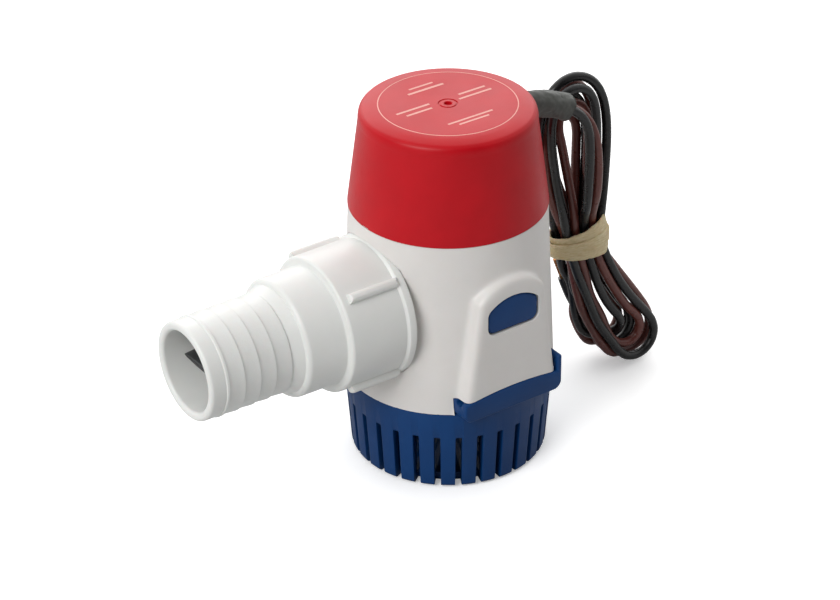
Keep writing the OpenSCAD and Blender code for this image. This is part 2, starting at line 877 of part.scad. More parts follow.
module check_valve() {
  color("#17181A") {
    difference() {
      union() {
        along_nozzle(valve_x, valve_x + valve_flange_t, socket_r - 0.6);
        along_nozzle(valve_x, valve_x + 9, valve_r);
        bill(valve_r, valve_tip, valve_r - 3, 0.9);
      }
      along_nozzle(valve_x - 1, valve_x + 8.6, valve_r - valve_t);
      bill(valve_r - valve_t, valve_tip - 2.5, valve_r - 4.6, 0.3);
    }
  }
}

// Strain relief round both leads
module sleeve_body(r) {
  translate([sleeve_in, 0, sleeve_z - sleeve_bend_r]) rotate([90, 0, 0]) rotate([0, 0, 90 - sleeve_bend])
    rotate_extrude(angle = sleeve_bend) translate([sleeve_bend_r, 0]) circle(r = r);
}

module strain_relief() {
  color("#3B3D39") {
    translate([sleeve_in, 0, sleeve_z - sleeve_bend_r]) rotate([90, 0, 0]) rotate([0, 0, 90 - sleeve_bend])
      rotate_extrude(angle = sleeve_bend) translate([sleeve_bend_r, 0]) {
        difference() {
          circle(r = sleeve_r);
          circle(r = sleeve_bore);
        }
      }
  }
}

module inner_lead(side) {
  steps = 5;
  start = [0, side * terminal_y, motor_top + bell_t + terminal_h + 1.7];
  route = concat(
    [start, start + [0.6, 0, 2], start + [4, -side * 1.6, 3],
      [sleeve_in - 6, side * 4.4, (start[2] + 3 + sleeve_z) / 2]],
    [for (i = [0 : steps])
      let (a = i * sleeve_bend / steps)
      [sleeve_in + sleeve_bend_r * sin(a), side * lead_side, sleeve_z - sleeve_bend_r * (1 - cos(a))]]);
  tube(route, lead_r, first_way = [0, 0, 1], last_way = [cos(sleeve_bend), 0, -sin(sleeve_bend)]);
}

module inner_lead_black() {
  color("#222222") inner_lead(-1);
}

module inner_lead_brown() {
  color("#5A3532") inner_lead(1);
}

module outer_lead(side, route) {
  start = [sleeve_end_x, side * lead_side, sleeve_end_z];
  tube(concat([start], route), lead_r, first_way = [cos(sleeve_bend), 0, -sin(sleeve_bend)]);
}

module lead_black() {
  color("#222222") outer_lead(-1, black_route);
}

module lead_brown() {
  color("#5A3532") outer_lead(1, brown_route);
}

// Lays an upright outline in the hank's leaning plane
module in_hank_plane(thickness) {
  translate([0, hank_foot_y, 0]) rotate([-hank_lean, 0, 0]) rotate([90, 0, 0])
    linear_extrude(thickness, center = true) children();
}

module lead_hank() {
  color("#2B2422") {
    in_hank_plane(hank_t) {
      for (wide = [[hank_top, hank_top_r], [hank_foot, hank_foot_r]]) {
        hull() {
          translate(wide[0]) circle(r = wide[1], $fn = HULL_FN);
          translate(hank_waist) circle(r = hank_waist_r, $fn = HULL_FN);
        }
      }
    }
  }
}

// Rubber band round the hank's waist
module hank_band() {
  half = hank_waist_r + 2;
  color("#CDBB98") {
    difference() {
      translate([0, hank_foot_y, 0]) rotate([-hank_lean, 0, 0]) translate([hank_waist[0], 0, hank_waist[1]])
        rotate([0, -band_turn, 0]) cube([2 * half + 2 * band_t, hank_t + 2 * band_t, band_h], center = true);
      in_hank_plane(hank_t + 0.04) {
        for (wide = [[hank_top, hank_top_r], [hank_foot, hank_foot_r]]) {
          hull() {
            translate(wide[0]) circle(r = wide[1], $fn = HULL_FN);
            translate(hank_waist) circle(r = hank_waist_r, $fn = HULL_FN);
          }
        }
      }
    }
  }
}

strainer();
housing();
release_tab_near();
release_tab_far();
inlet_plate();
motor_canister();
cap();
cap_seal();
nozzle();
nozzle_seal();
check_valve();
motor_can();
field_magnets();
lower_bush();
upper_bush();
end_bell();
brush_arms();
brushes();
terminals();
lead_connectors();
shaft_seal();
seal_retainer();
shaft();
armature_core();
windings();
commutator();
spacer_washers();
impeller();
impeller_clip();
strain_relief();
inner_lead_black();
inner_lead_brown();
lead_black();
lead_brown();
lead_hank();
hank_band();
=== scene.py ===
import math

import bpy
import numpy as np
from mathutils import Matrix, Vector


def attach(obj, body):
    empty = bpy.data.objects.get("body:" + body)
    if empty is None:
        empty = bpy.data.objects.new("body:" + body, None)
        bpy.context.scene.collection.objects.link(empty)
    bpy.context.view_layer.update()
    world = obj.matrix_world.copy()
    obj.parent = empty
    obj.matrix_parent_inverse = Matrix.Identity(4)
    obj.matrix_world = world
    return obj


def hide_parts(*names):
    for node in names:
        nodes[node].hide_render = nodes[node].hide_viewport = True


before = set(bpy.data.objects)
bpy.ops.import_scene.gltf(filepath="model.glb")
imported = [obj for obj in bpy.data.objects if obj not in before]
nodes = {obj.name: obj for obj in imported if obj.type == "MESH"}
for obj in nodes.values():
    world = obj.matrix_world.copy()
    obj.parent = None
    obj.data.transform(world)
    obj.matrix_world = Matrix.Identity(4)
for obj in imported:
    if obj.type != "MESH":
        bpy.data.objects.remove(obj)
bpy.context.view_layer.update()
mm = 0.001  # every size below is in millimetres, and the scene is in metres


def step(text):
    print("scene:", text)


def deselectAll():
    bpy.ops.object.select_all(action="DESELECT")


def pick(*objs):
    deselectAll()
    for o in objs:
        o.select_set(True)
    bpy.context.view_layer.objects.active = objs[0]


def named(name):
    o = bpy.context.active_object
    o.name = name
    o.data.name = name
    return o


def place(x, y, z):
    return (x * mm, y * mm, z * mm)


def settle(o):  # puts the object at the origin, unturned and unscaled, with its place in its mesh
    pick(o)
    bpy.ops.object.transform_apply(location=True, rotation=True, scale=True)
    return o


def block(name, size, at):  # a cutter or a base for one shape: its size and its middle, in mm
    bpy.ops.mesh.primitive_cube_add(size=1, location=place(*at), scale=place(*size))
    return settle(named(name))


def rod(name, radius, length, at, sides=32, tilt=90):  # a round bar, lying along x unless tilt says otherwise
    bpy.ops.mesh.primitive_cylinder_add(
        vertices=sides, radius=radius * mm, depth=length * mm, location=place(*at), rotation=(0, math.radians(tilt), 0)
    )
    return settle(named(name))


def ring(name, radius, at, sides):  # an open circle of vertices that faces along x
    bpy.ops.mesh.primitive_circle_add(
        vertices=sides, radius=radius * mm, location=place(*at), rotation=(0, math.pi / 2, 0),
    )
    return settle(named(name))


def applyModifier(o, kind, **settings):
    pick(o)
    modifier = o.modifiers.new(kind.lower(), kind)
    for key, value in settings.items():
        setattr(modifier, key, value)
    bpy.ops.object.modifier_apply(modifier=modifier.name)
    return o


def inEdit(o, act):
    pick(o)
    bpy.ops.object.mode_set(mode="EDIT")
    bpy.ops.mesh.select_all(action="SELECT")
    act()
    bpy.ops.object.mode_set(mode="OBJECT")
    return o


def joined(*objs):
    pick(*objs)
    bpy.ops.object.join()
    return bpy.context.active_object


def tidyMesh(o, merge=0.004):
    def act():
        bpy.ops.mesh.remove_doubles(threshold=merge * mm)
        bpy.ops.mesh.normals_make_consistent(inside=False)

    return inEdit(o, act)


def smooth(o, angle=32):
    pick(o)
    bpy.ops.object.shade_smooth_by_angle(angle=math.radians(angle))
    return o


def cut(o, *tools, operation="DIFFERENCE", solver="MANIFOLD"):
    for tool in tools:
        applyModifier(o, "BOOLEAN", object=tool, operation=operation, solver=solver)
        bpy.data.objects.remove(tool)
    return o


def trace(name, points):  # draws a line of vertices, one extrude at a time
    bpy.ops.mesh.primitive_plane_add(size=mm)
    o = named(name)
    bpy.ops.object.mode_set(mode="EDIT")
    bpy.ops.mesh.select_all(action="SELECT")
    bpy.ops.mesh.merge(type="CENTER")
    at = Vector(points[0]) * mm
    bpy.ops.transform.translate(value=at)
    for p in points[1:]:
        to = Vector(p) * mm
        bpy.ops.mesh.extrude_vertices_move(TRANSFORM_OT_translate={"value": to - at})
        at = to
    bpy.ops.object.mode_set(mode="OBJECT")
    return o


def turned(name, profile, steps=128, centre=(0, 0, 0), axis=(0, 0, 1)):  # spins a closed profile of (radius, height)
    centre = Vector(centre)
    if axis[2]:
        points = [centre + Vector((r, 0, h)) for r, h in profile]
    else:
        points = [centre + Vector((-h, 0, r)) for r, h in profile]
    o = trace(name, points if profile[0][0] == 0 else points + points[:1])

    def act():
        bpy.ops.mesh.remove_doubles(threshold=0.002 * mm)
        bpy.ops.mesh.select_all(action="SELECT")
        bpy.ops.mesh.spin(steps=steps, angle=2 * math.pi, use_auto_merge=True, center=centre * mm, axis=axis)

    inEdit(o, act)
    return tidyMesh(o)


# an outline of (x, z) filled, stood up and given depth from y = back to y = front
def slab(name, outline, back, front):
    o = trace(name, [(x, back, z) for x, z in outline + outline[:1]])

    def act():
        bpy.ops.mesh.remove_doubles(threshold=0.002 * mm)
        bpy.ops.mesh.select_all(action="SELECT")
        bpy.ops.mesh.edge_face_add()
        bpy.ops.mesh.extrude_region_move(TRANSFORM_OT_translate={"value": (0, (front - back) * mm, 0)})

    inEdit(o, act)
    return tidyMesh(o)


def arc(cx, cy, r, start, end, count):
    return [
        (cx + r * math.cos(math.radians(a)), cy + r * math.sin(math.radians(a))) for a in np.linspace(start, end, count)
    ]


def spunRound(o, angle, axis="Z", centre=(0, 0, 0)):  # turned by radians about a line through centre
    pick(o)
    bpy.ops.transform.rotate(value=angle, orient_axis=axis, center_override=centre)
    return settle(o)


def spunCopy(o, name, angle):  # a copy with its own mesh, turned about the pump's upright axis
    pick(o)
    bpy.ops.object.duplicate(linked=False)
    return spunRound(named(name), angle)


def halfTurn(o, name):  # the far side's copy
    return spunCopy(o, name, math.pi)


cameraPlace = {
    "x": -403.38, "y": -559.22, "z": 456.29, "azimuth": -35.13, "elevation": 30.79, "roll": -0.41, "lens": 119.63,
}


def makeCamera():
    az, el, roll = (math.radians(cameraPlace[k]) for k in ("azimuth", "elevation", "roll"))
    back = Vector((math.sin(az) * math.cos(el), -math.cos(az) * math.cos(el), math.sin(el)))
    right = Vector((math.cos(az), math.sin(az), 0))
    up = back.cross(right)
    side = right * math.cos(roll) + up * math.sin(roll)
    top = up * math.cos(roll) - right * math.sin(roll)
    data = bpy.data.cameras.new("pumpCamera")
    data.lens = cameraPlace["lens"]
    data.sensor_width = 36
    data.clip_start, data.clip_end = 0.05, 20
    cam = bpy.data.objects.new("pumpCamera", data)
    bpy.context.scene.collection.objects.link(cam)
    at = place(cameraPlace["x"], cameraPlace["y"], cameraPlace["z"])
    cam.matrix_world = Matrix.Translation(at) @ Matrix((side, top, back)).transposed().to_4x4()
    bpy.context.scene.camera = cam


makeCamera()
step("camera")


leadSizes = {
    "radius": 1.4,
    "gap": 2.86,  # between the middles of two leads that touch
    "lean": 5.4,  # degrees that the hank leans back
    "footY": 1.6,
    "start": (41.8, 1.55, 94.96),  # end of the sleeve, half the distance between the two leads in y
    "bend": 7.5,  # tightest bend that the laying aims at
    "low": (40.9, -8, 1.48),  # the leads' middles stay between these two corners
    "high": (78.5, 17, 98.2),
    "spacing": 1.9,  # between the points of a line while it is laid
    "rounds": 70,
    "stripped": 7,  # bare copper at each far end
    "strandRadius": 0.75,
    "strandTwist": 300,
}


def onHank(x, v, t):  # across, up and out of the hank's leaning plane, to the frame
    lean = math.radians(leadSizes["lean"])
    return (
        x,
        leadSizes["footY"] - t * math.cos(lean) + v * math.sin(lean),
        t * math.sin(lean) + v * math.cos(lean),
    )


blackWay = [
    (41.8, -1.55, 94.96), (44.3, -1.6, 93.45), (46.5, -1.8, 91.2), (48, -2.2, 87.4), (48.7, -2.6, 81),
    (48.8, -2.5, 74), (49, -2, 66), (49.6, -0.6, 59),
]
blackTurns = [
    (51.4, 53, 3.8), (52.4, 46, 2.7),
    (54.4, 35.8, 3.2), (58.8, 24.5, 3.6), (63.8, 15.9, 3.6), (64.8, 9.7, 1.6), (62.6, 7.5, -1.4), (58.6, 11, -3.8),
    (54, 22.1, -3.6), (50.9, 33.9, -3),
    (46.6, 46, -2.7), (44.6, 57, -2.8), (42.8, 69, -3), (42, 80, -3), (43.4, 89, -2.6), (48, 95.2, -2),
    (54, 97, -1.2), (59.9, 94.2, -0.4),
    (63.3, 87.4, 0), (63.9, 78, 0.4), (62.4, 67, 1), (60, 56, 2), (58.2, 46, 2.7),
    (61, 36.5, 3.1), (65.4, 27.4, 3.4), (71, 19.2, 3.6), (75.8, 11.6, 3.8), (77.2, 6.4, 3.8), (74.4, 2.6, 3.6),
    (69.6, 2.2, 3.4), (64.8, 4.4, 3.4), (60.6, 9, 3.4),
    (57, 15.4, 3.4), (53.4, 24, 3.3), (50, 34.5, 3), (46.6, 46, 2.7),
    (44.9, 57, 2.4), (43.4, 68, 1.6), (43, 79, 1), (44.2, 88, 1), (48.2, 94.2, 1.4), (52.8, 95, 1.6), (57, 91.8, 1.6),
    (59.2, 85.4, 1.4), (59.8, 77, 0.6),
    (59.2, 67, -0.6), (57, 56, -0.6), (53.85, 46, 0),
    (57, 37, 0.6), (62.6, 27, 0.6), (68, 18.5, 0.4), (71.2, 12, 0.2), (70.2, 7, -0.2), (65.4, 5.4, -0.8),
    (60.4, 9.4, -1.4), (56.4, 17, -2), (52.8, 27, -2.4), (50.6, 36, -2.6),
    (49.5, 46, -2.7), (48, 57, -4), (46.4, 68, -4.6), (46.2, 79, -4.8), (47.8, 87.4, -5), (51.6, 92, -5),
    (56, 91.4, -5), (59, 86.6, -5), (59.8, 78, -4.6), (59, 67, -4.2),
    (57, 56, -3.4), (55.3, 46, -2.7),
    (59, 37, -3.2), (65, 27, -3.6), (70.2, 18, -3.8), (73.6, 11, -4), (72.4, 5.8, -4.2), (67.4, 4, -4.6),
    (61.8, 7.6, -4.8), (57.2, 14.8, -5), (54, 23, -5), (51.8, 31, -5),
]
brownWay = [
    (41.8, 1.55, 94.96), (44.8, 1.5, 93.3), (48, 1, 91), (50.4, 0, 87.6), (51.8, -1, 83), (52.4, -1.8, 77),
    (52.6, -1.8, 70), (52.8, -1, 62.5),
]
brownTurns = [
    (54.2, 54, 4), (55.3, 46, 2.7),
    (57.6, 37, 3), (62.2, 27.4, 3.2), (67.4, 19, 3.2), (72, 12.6, 3.2), (73.6, 8.2, 2.8), (71, 5.2, 2.2),
    (66.6, 5.6, 1.4), (62, 9.6, 0.6), (57.6, 17.2, 0.8), (54, 26.6, 1.4),
    (51.6, 36.4, 2.2), (49.5, 46, 2.7),
    (49.2, 57, 2), (48.4, 68, 0.8), (47.9, 78, -0.8), (48.7, 85.6, -2), (51.6, 90, -2.8), (55.4, 90, -3),
    (58, 85.6, -2.8), (58.8, 78, -2.4), (58.6, 67, -1.8), (57.8, 56, -1),
    (56.75, 46, 0),
    (61.8, 37.6, 0.2), (67.8, 28.6, 0.2), (73.4, 20.2, 0.2), (77.4, 12.8, 0.2), (78, 7.4, 0), (74.8, 3.6, -0.2),
    (69.6, 2.8, -0.6), (64.2, 5.6, -0.8), (58.8, 11.8, -0.4), (54.2, 20.6, 0),
    (50.2, 31, 0.2), (48.05, 46, 0),
    (44.4, 57, -0.4), (42.4, 67, -1), (43, 79, -3.4), (45.4, 87.6, -4.4), (50.2, 92.8, -4.8), (56, 93, -4.8),
    (60.4, 88, -4.6), (61.8, 79, -4.2), (60.8, 68, -3.6), (59.4, 57, -3),
    (58.2, 46, -2.7),
    (63, 37, -3), (68.6, 28, -3.4), (74, 19.6, -3.8), (76.8, 12, -4.2), (75.2, 6, -4.4), (70, 3.4, -4.6),
    (64, 5.2, -4.4), (59, 11.4, -4), (55, 20, -3.2), (52.2, 31, -1.6),
    (50.95, 46, 0), (48.8, 57, -0.8), (46.2, 67, -2.4), (45.6, 76, -4), (47.4, 83, -5.4), (52, 86.6, -6),
    (56.8, 83.4, -6), (58.4, 76, -5.8), (57.6, 67, -5.2), (55.2, 57, -4),
    (52.4, 46, -2.7),
    (56, 37, -3.8), (61.6, 28, -4.8), (67, 20.4, -5.6), (70.6, 13.6, -6.2), (70, 7.4, -6.4), (64.8, 4.6, -6.4),
    (59.4, 8, -6.4), (56.4, 15.6, -6.2), (54.6, 25, -5.8), (53.4, 33, -5.4),
]


def throughPoints(points, spacing):  # an even run of points on one smooth curve through the given ones
    p = np.array(points, float)
    p = np.vstack([2 * p[0] - p[1], p, 2 * p[-1] - p[-2]])
    t = np.linspace(0, 1, 12, endpoint=False)[:, None]
    fine = [
        0.5 * (2 * b + (c - a) * t + (2 * a - 5 * b + 4 * c - d) * t**2 + (3 * b - a - 3 * c + d) * t**3)
        for a, b, c, d in zip(p[:-3], p[1:-2], p[2:-1], p[3:])
    ]
    fine = np.vstack(fine + [p[-2:-1]])
    far = np.concatenate([[0], np.cumsum(np.linalg.norm(np.diff(fine, axis=0), axis=1))])
    at = np.linspace(0, far[-1], round(far[-1] / spacing) + 1)
    return np.stack([np.interp(at, far, fine[:, k]) for k in range(3)], axis=1)


# pushes leads apart where they meet, and keeps them smooth, off the floor and inside the hank
def layLeads(lines, rounds, spacing):
    gap = leadSizes["gap"]
    slack = spacing**2 / (2 * leadSizes["bend"])  # how far a point may sit off the line between its neighbours
    for part in range(4):
        sizes = [len(line) for line in lines]
        points = np.vstack(lines)
        owner = np.repeat(range(len(lines)), sizes)
        index = np.concatenate([range(n) for n in sizes])
        near = (owner[:, None] == owner[None]) & (np.abs(index[:, None] - index[None]) * spacing < 3 * gap)
        held = index < 2
        middles = np.flatnonzero((index > 0) & (index < np.repeat(sizes, sizes) - 1))
        for k in range(rounds):
            apart = points[:, None] - points[None]
            far = np.linalg.norm(apart, axis=2) + 1e-9
            push = np.where(near | (far >= gap), 0, (gap - far) / far)
            points = points + np.where(held[:, None], 0, 0.4 * (push[:, :, None] * apart).sum(1))
            for run in range(3):
                sag = (points[middles - 1] + points[middles + 1]) / 2 - points[middles]
                size = np.linalg.norm(sag, axis=1)[:, None] + 1e-9
                move = sag * np.clip(1 - slack / size, 0.03, 1)
                move = np.where(held[middles, None], 0, move)
                np.add.at(points, middles, 0.4 * move)
                np.add.at(points, middles - 1, np.where(held[middles - 1, None], 0, -0.2 * move))
                np.add.at(points, middles + 1, -0.2 * move)
            points = np.where(held[:, None], points, np.clip(points, leadSizes["low"], leadSizes["high"]))
        lines = [throughPoints(line, spacing) for line in np.split(points, np.cumsum(sizes)[:-1])]
    return lines


def softLead(name, line, stride=2):
    data = bpy.data.curves.new(name, "CURVE")
    data.dimensions = "3D"
    data.bevel_depth = leadSizes["radius"] * mm
    data.bevel_resolution = 4
    data.use_fill_caps = True
    data.resolution_u = 4
    spline = data.splines.new("BEZIER")
    keep = np.vstack([line[:-1:stride], line[-1:]])
    spline.bezier_points.add(len(keep) - 1)
    for point, at in zip(spline.bezier_points, keep):
        point.co = Vector(at) * mm
        point.handle_left_type = point.handle_right_type = "AUTO"
    o = bpy.data.objects.new(name, data)
    bpy.context.scene.collection.objects.link(o)
    return o


def lineLength(line):  # in metres
    return float(np.linalg.norm(np.diff(line, axis=0), axis=1).sum() * mm)


lines = [
    throughPoints(way + [onHank(*p) for p in turns], leadSizes["spacing"])
    for way, turns in ((blackWay, blackTurns), (brownWay, brownTurns))
]
blackLine, brownLine = layLeads(lines, leadSizes["rounds"], leadSizes["spacing"])
leadBlack = softLead("leadBlack", blackLine)
leadBrown = softLead("leadBrown", brownLine)
step("leads %.3f and %.3f m" % (lineLength(blackLine), lineLength(brownLine)))


def linear(tone):  # sRGB hex to the linear colour that shaders take
    parts = [int(tone[i : i + 2], 16) / 255 for i in (0, 2, 4)]
    return tuple(c / 12.92 if c <= 0.04045 else ((c + 0.055) / 1.055) ** 2.4 for c in parts) + (1,)


def every(size):  # noise scale for a pattern whose marks are this many mm across
    return 1 / (size * mm)


def newFinish(name, **sockets):
    material = bpy.data.materials.new(name)
    material.use_nodes = True
    for key, value in sockets.items():
        material.node_tree.nodes["Principled BSDF"].inputs[key.replace("_", " ")].default_value = value
    return material


def add(material, kind, inputs, **settings):  # adds one node to a material or world: settings, fixed inputs, links
    one = material.node_tree.nodes.new(kind)
    for key, value in settings.items():
        setattr(one, key, value)
    for key, value in inputs.items():
        if isinstance(value, bpy.types.NodeSocket):
            material.node_tree.links.new(value, one.inputs[key])
        else:
            one.inputs[key].default_value = value
    return one


def feed(material, **sockets):  # links sockets into the finish's shader
    shader = material.node_tree.nodes["Principled BSDF"]
    for key, value in sockets.items():
        material.node_tree.links.new(value, shader.inputs[key.replace("_", " ")])


def objectPlace(material, scale=(1, 1, 1)):
    where = add(material, "ShaderNodeTexCoord", {}).outputs["Object"]
    return add(material, "ShaderNodeMapping", {"Vector": where, "Scale": scale}).outputs["Vector"]


def mottled(material, where, size, low, high, detail=4):  # a soft noise from low to high
    cloud = add(
        material, "ShaderNodeTexNoise", {"Vector": where, "Scale": every(size), "Detail": detail, "Roughness": 0.55},
    )
    return add(
        material, "ShaderNodeMapRange",
        {"Value": cloud.outputs["Fac"], "From Min": 0.3, "From Max": 0.7, "To Min": low, "To Max": high},
    ).outputs["Result"]


def blendTones(material, factor, first, second):
    mix = add(material, "ShaderNodeMix", {"Factor": factor}, data_type="RGBA")
    for socket, tone in ((6, first), (7, second)):
        if isinstance(tone, bpy.types.NodeSocket):
            material.node_tree.links.new(tone, mix.inputs[socket])
        else:
            mix.inputs[socket].default_value = linear(tone)
    return mix.outputs[2]


def relief(material, height, depth, strength=1.0, under=None):
    inputs = {"Height": height, "Distance": depth * mm, "Strength": strength}
    if under is not None:
        inputs["Normal"] = under
    return add(material, "ShaderNodeBump", inputs).outputs["Normal"]


# Injection-moulded plastic: a spark-eroded tool grain, faint clouds of tone where the melt ran, and handling
# scuffs that show only in the gloss
def mouldedPlastic(name, tone, cloudTone, gloss, grain=0.28, grainDepth=0.012, glow=0.0, shine=0.5):
    material = newFinish(
        name, Base_Color=linear(tone), IOR=1.46, Specular_IOR_Level=shine, Subsurface_Weight=glow,
        Subsurface_Scale=1.2 * mm,
    )
    where = objectPlace(material)
    feed(material, Base_Color=blendTones(material, mottled(material, where, 9, 0, 0.55), tone, cloudTone))
    tool = mottled(material, where, grain, 0, 1, detail=2)
    waves = mottled(material, where, 7, 0, 1, detail=1)  # slight sink of the walls as they cool
    feed(material, Normal=relief(material, tool, grainDepth, 0.5, relief(material, waves, 0.05, 0.35)))
    along = objectPlace(material, (1, 1, 0.06))
    scuff = mottled(material, along, 0.5, 0, 1, detail=3)
    spread = mottled(material, where, 14, -0.02, 0.06)
    marks = add(
        material, "ShaderNodeMapRange",
        {"Value": scuff, "From Min": 0.82, "From Max": 1.0, "To Min": gloss, "To Max": gloss + 0.09},
    ).outputs["Result"]
    feed(material, Roughness=add(material, "ShaderNodeMath", {0: marks, 1: spread}, operation="ADD").outputs[0])
    return material


# Soft black or grey rubber: a dull bloom in clouds, fine talc-like grain
def mouldedRubber(name, tone, bloomTone, gloss=0.62, grain=0.22):
    material = newFinish(name, Base_Color=linear(tone), IOR=1.5, Sheen_Weight=0.12, Sheen_Roughness=0.5)
    where = objectPlace(material)
    feed(material, Base_Color=blendTones(material, mottled(material, where, 2.6, 0, 0.8), tone, bloomTone))
    feed(material, Roughness=mottled(material, where, 3.5, gloss - 0.08, gloss + 0.1))
    feed(material, Normal=relief(material, mottled(material, where, grain, 0, 1), 0.02, 0.6))
    return material


# Drawn or turned metal: hairlines round the axis or along it, and small patches of tarnish
def workedMetal(name, tone, tarnish, gloss=0.28, lines=(1, 1, 30), line=6):
    material = newFinish(name, Base_Color=linear(tone), Metallic=1.0)
    where = objectPlace(material)
    hair = mottled(material, objectPlace(material, lines), line, 0, 1, detail=5)
    feed(material, Base_Color=blendTones(material, mottled(material, where, 3, 0, 0.7), tone, tarnish))
    feed(
        material,
        Roughness=add(
            material, "ShaderNodeMapRange", {"Value": hair, "To Min": gloss - 0.06, "To Max": gloss + 0.12},
        ).outputs["Result"],
    )
    feed(material, Normal=relief(material, hair, 0.006, 0.5))
    return material


# Wound or stacked metal: round turns of wire, or sheet edges, one every pitch along an axis
def layeredMetal(name, tone, tarnish, pitch, axis="Z", metallic=1.0, gloss=0.35, depth=0.1):
    material = newFinish(name, Base_Color=linear(tone), Metallic=metallic)
    where = objectPlace(material)
    layers = add(
        material, "ShaderNodeTexWave",
        {"Vector": where, "Scale": math.pi / 10 / (pitch * mm), "Distortion": 0.3, "Detail": 1.0},
        bands_direction=axis,
    ).outputs["Fac"]
    feed(material, Base_Color=blendTones(material, layers, tarnish, tone))
    feed(material, Roughness=mottled(material, where, 1.5, gloss - 0.05, gloss + 0.15))
    feed(material, Normal=relief(material, layers, depth, 0.6))
    return material


# Extruded vinyl round a lead: satin, with a slight wander in its gloss and the print of the strands beneath
def leadVinyl(name, tone, paleTone, gloss):
    material = newFinish(name, Base_Color=linear(tone), IOR=1.52)
    where = objectPlace(material)
    feed(material, Base_Color=blendTones(material, mottled(material, where, 5, 0, 0.6), tone, paleTone))
    feed(material, Roughness=mottled(material, where, 2.2, gloss - 0.06, gloss + 0.1))
    feed(material, Normal=relief(material, mottled(material, where, 0.9, 0, 1, detail=2), 0.03, 0.5))
    return material


# Natural rubber band: cream, matt, with fine lengthwise creases and painted shade in their hollows, broken into uneven
# patches
def bandRubber(name, tone, creaseShadeTone):
    material = newFinish(name, Base_Color=linear(tone), IOR=1.5, Subsurface_Weight=0.15, Subsurface_Scale=0.8 * mm)
    where = objectPlace(material)
    crease = mottled(material, objectPlace(material, (0.25, 1, 2.4)), 0.8, 0, 1)
    # the darker tone is painted shade where the creases sink, made patchy by a random cloud
    creaseShadeAndPatches = add(
        material, "ShaderNodeMath", {0: crease, 1: mottled(material, where, 4, 0.3, 1)}, operation="MULTIPLY",
    ).outputs[0]
    feed(material, Base_Color=blendTones(material, creaseShadeAndPatches, creaseShadeTone, tone))
    feed(material, Roughness=mottled(material, where, 1.6, 0.6, 0.8))
    feed(material, Normal=relief(material, crease, 0.12, 0.6))
    return material


finishes = {
    # deep blue, satin, lighter only where the light grazes it
    "blue_plastic": mouldedPlastic("bluePlastic", "063a70", "053264", 0.42, shine=0.28),
    # warm white with a soft sheen
    "white_plastic": mouldedPlastic("warmWhitePlastic", "dedbd8", "d8d4d0", 0.36, glow=0.05),
    # cooler white, a little glossier
    "nozzle_plastic": mouldedPlastic("coolWhitePlastic", "e0e1de", "dadbd8", 0.33, glow=0.05),
    "canister_plastic": mouldedPlastic("clearWhitePlastic", "e4e3e0", "dddcd8", 0.34),  # smooth inner moulding
    # strong red, satin with fine grain
    "red_plastic": mouldedPlastic("redPlastic", "bc0013", "ab0010", 0.38, grain=0.22, grainDepth=0.016, shine=0.3),
    "seal_rubber": mouldedRubber("sealRubber", "1d1f21", "2a2c2e", 0.45),  # black with a slight shine of grease
    "valve_rubber": mouldedRubber("valveRubber", "17181a", "242629", 0.5),  # near black, softly shining
    "sleeve_rubber": mouldedRubber("sleeveRubber", "3b3d39", "4c4e49", 0.6, grain=0.3),  # grey-black, dry and dull
    "can_steel": workedMetal("canSteel", "a7abae", "8f9395", 0.3),  # drawn can, lines round it
    "ferrite": mouldedRubber("ferrite", "3a3b3d", "2f3032", 0.7),  # sintered, dull and grainy
    "bush_bronze": workedMetal("bushBronze", "a8763e", "8a5f30", 0.4),  # sintered bronze, brown and dull
    "bell_plastic": mouldedPlastic("bellPlastic", "2b2d30", "26282b", 0.4),  # dark filled nylon
    "leaf_brass": workedMetal("leafBrass", "b98d3f", "9c7432", 0.25, lines=(30, 1, 1)),  # rolled strip
    "carbon": mouldedRubber("carbon", "303134", "1f2022", 0.75),  # pressed carbon, sooty and dull
    "tinned_brass": workedMetal("tinnedBrass", "c9cbcd", "b3b5b6", 0.3, lines=(20, 1, 1)),  # pale, greyed tin
    "connector_plastic": mouldedPlastic("connectorPlastic", "b03a34", "a3332e", 0.35),  # red insulating boot
    "shaft_steel": workedMetal("shaftSteel", "c5c8cb", "b5b8ba", 0.15),  # ground bright
    "core_steel": layeredMetal("coreSteel", "7a7d80", "3f4143", 0.5),  # edges of the stacked sheets
    # enamelled wire, turn by turn
    "winding_copper": layeredMetal("windingCopper", "9c5226", "3f1f0e", 0.42, axis="X", gloss=0.25),
    "commutator_copper": workedMetal("commutatorCopper", "b4703a", "7a4522", 0.3),  # bars worn by the brushes
    "nylon": mouldedPlastic("nylon", "e9e4d6", "e2dbc9", 0.4, glow=0.1),  # natural nylon, milky
    "impeller_plastic": mouldedPlastic("impellerPlastic", "e8e6df", "e0ddd4", 0.36),  # acetal, off-white
    "lead_black": leadVinyl("blackVinyl", "0f0f10", "1b1b1c", 0.28),  # satin black
    "lead_brown": leadVinyl("brownVinyl", "5e2c25", "733f36", 0.3),  # red-brown, slightly paler where it was pulled
    "band_rubber": bandRubber("creamRubber", "ecdfbf", "cbb688"),  # cream, with painted shade in its creases
    # bare stranded ends
    "strand_copper": layeredMetal("strandCopper", "c98a56", "8a5228", 0.3, axis="DIAGONAL", gloss=0.3, depth=0.08),
    "pale_print": mouldedPlastic("palePrint", "dfa398", "d8968b", 0.5),  # thin pale print on the cap
}


def dress(o, slot, finish=None):
    o.data.materials.clear()
    o.data.materials.append(finishes[finish or slot])
    return o


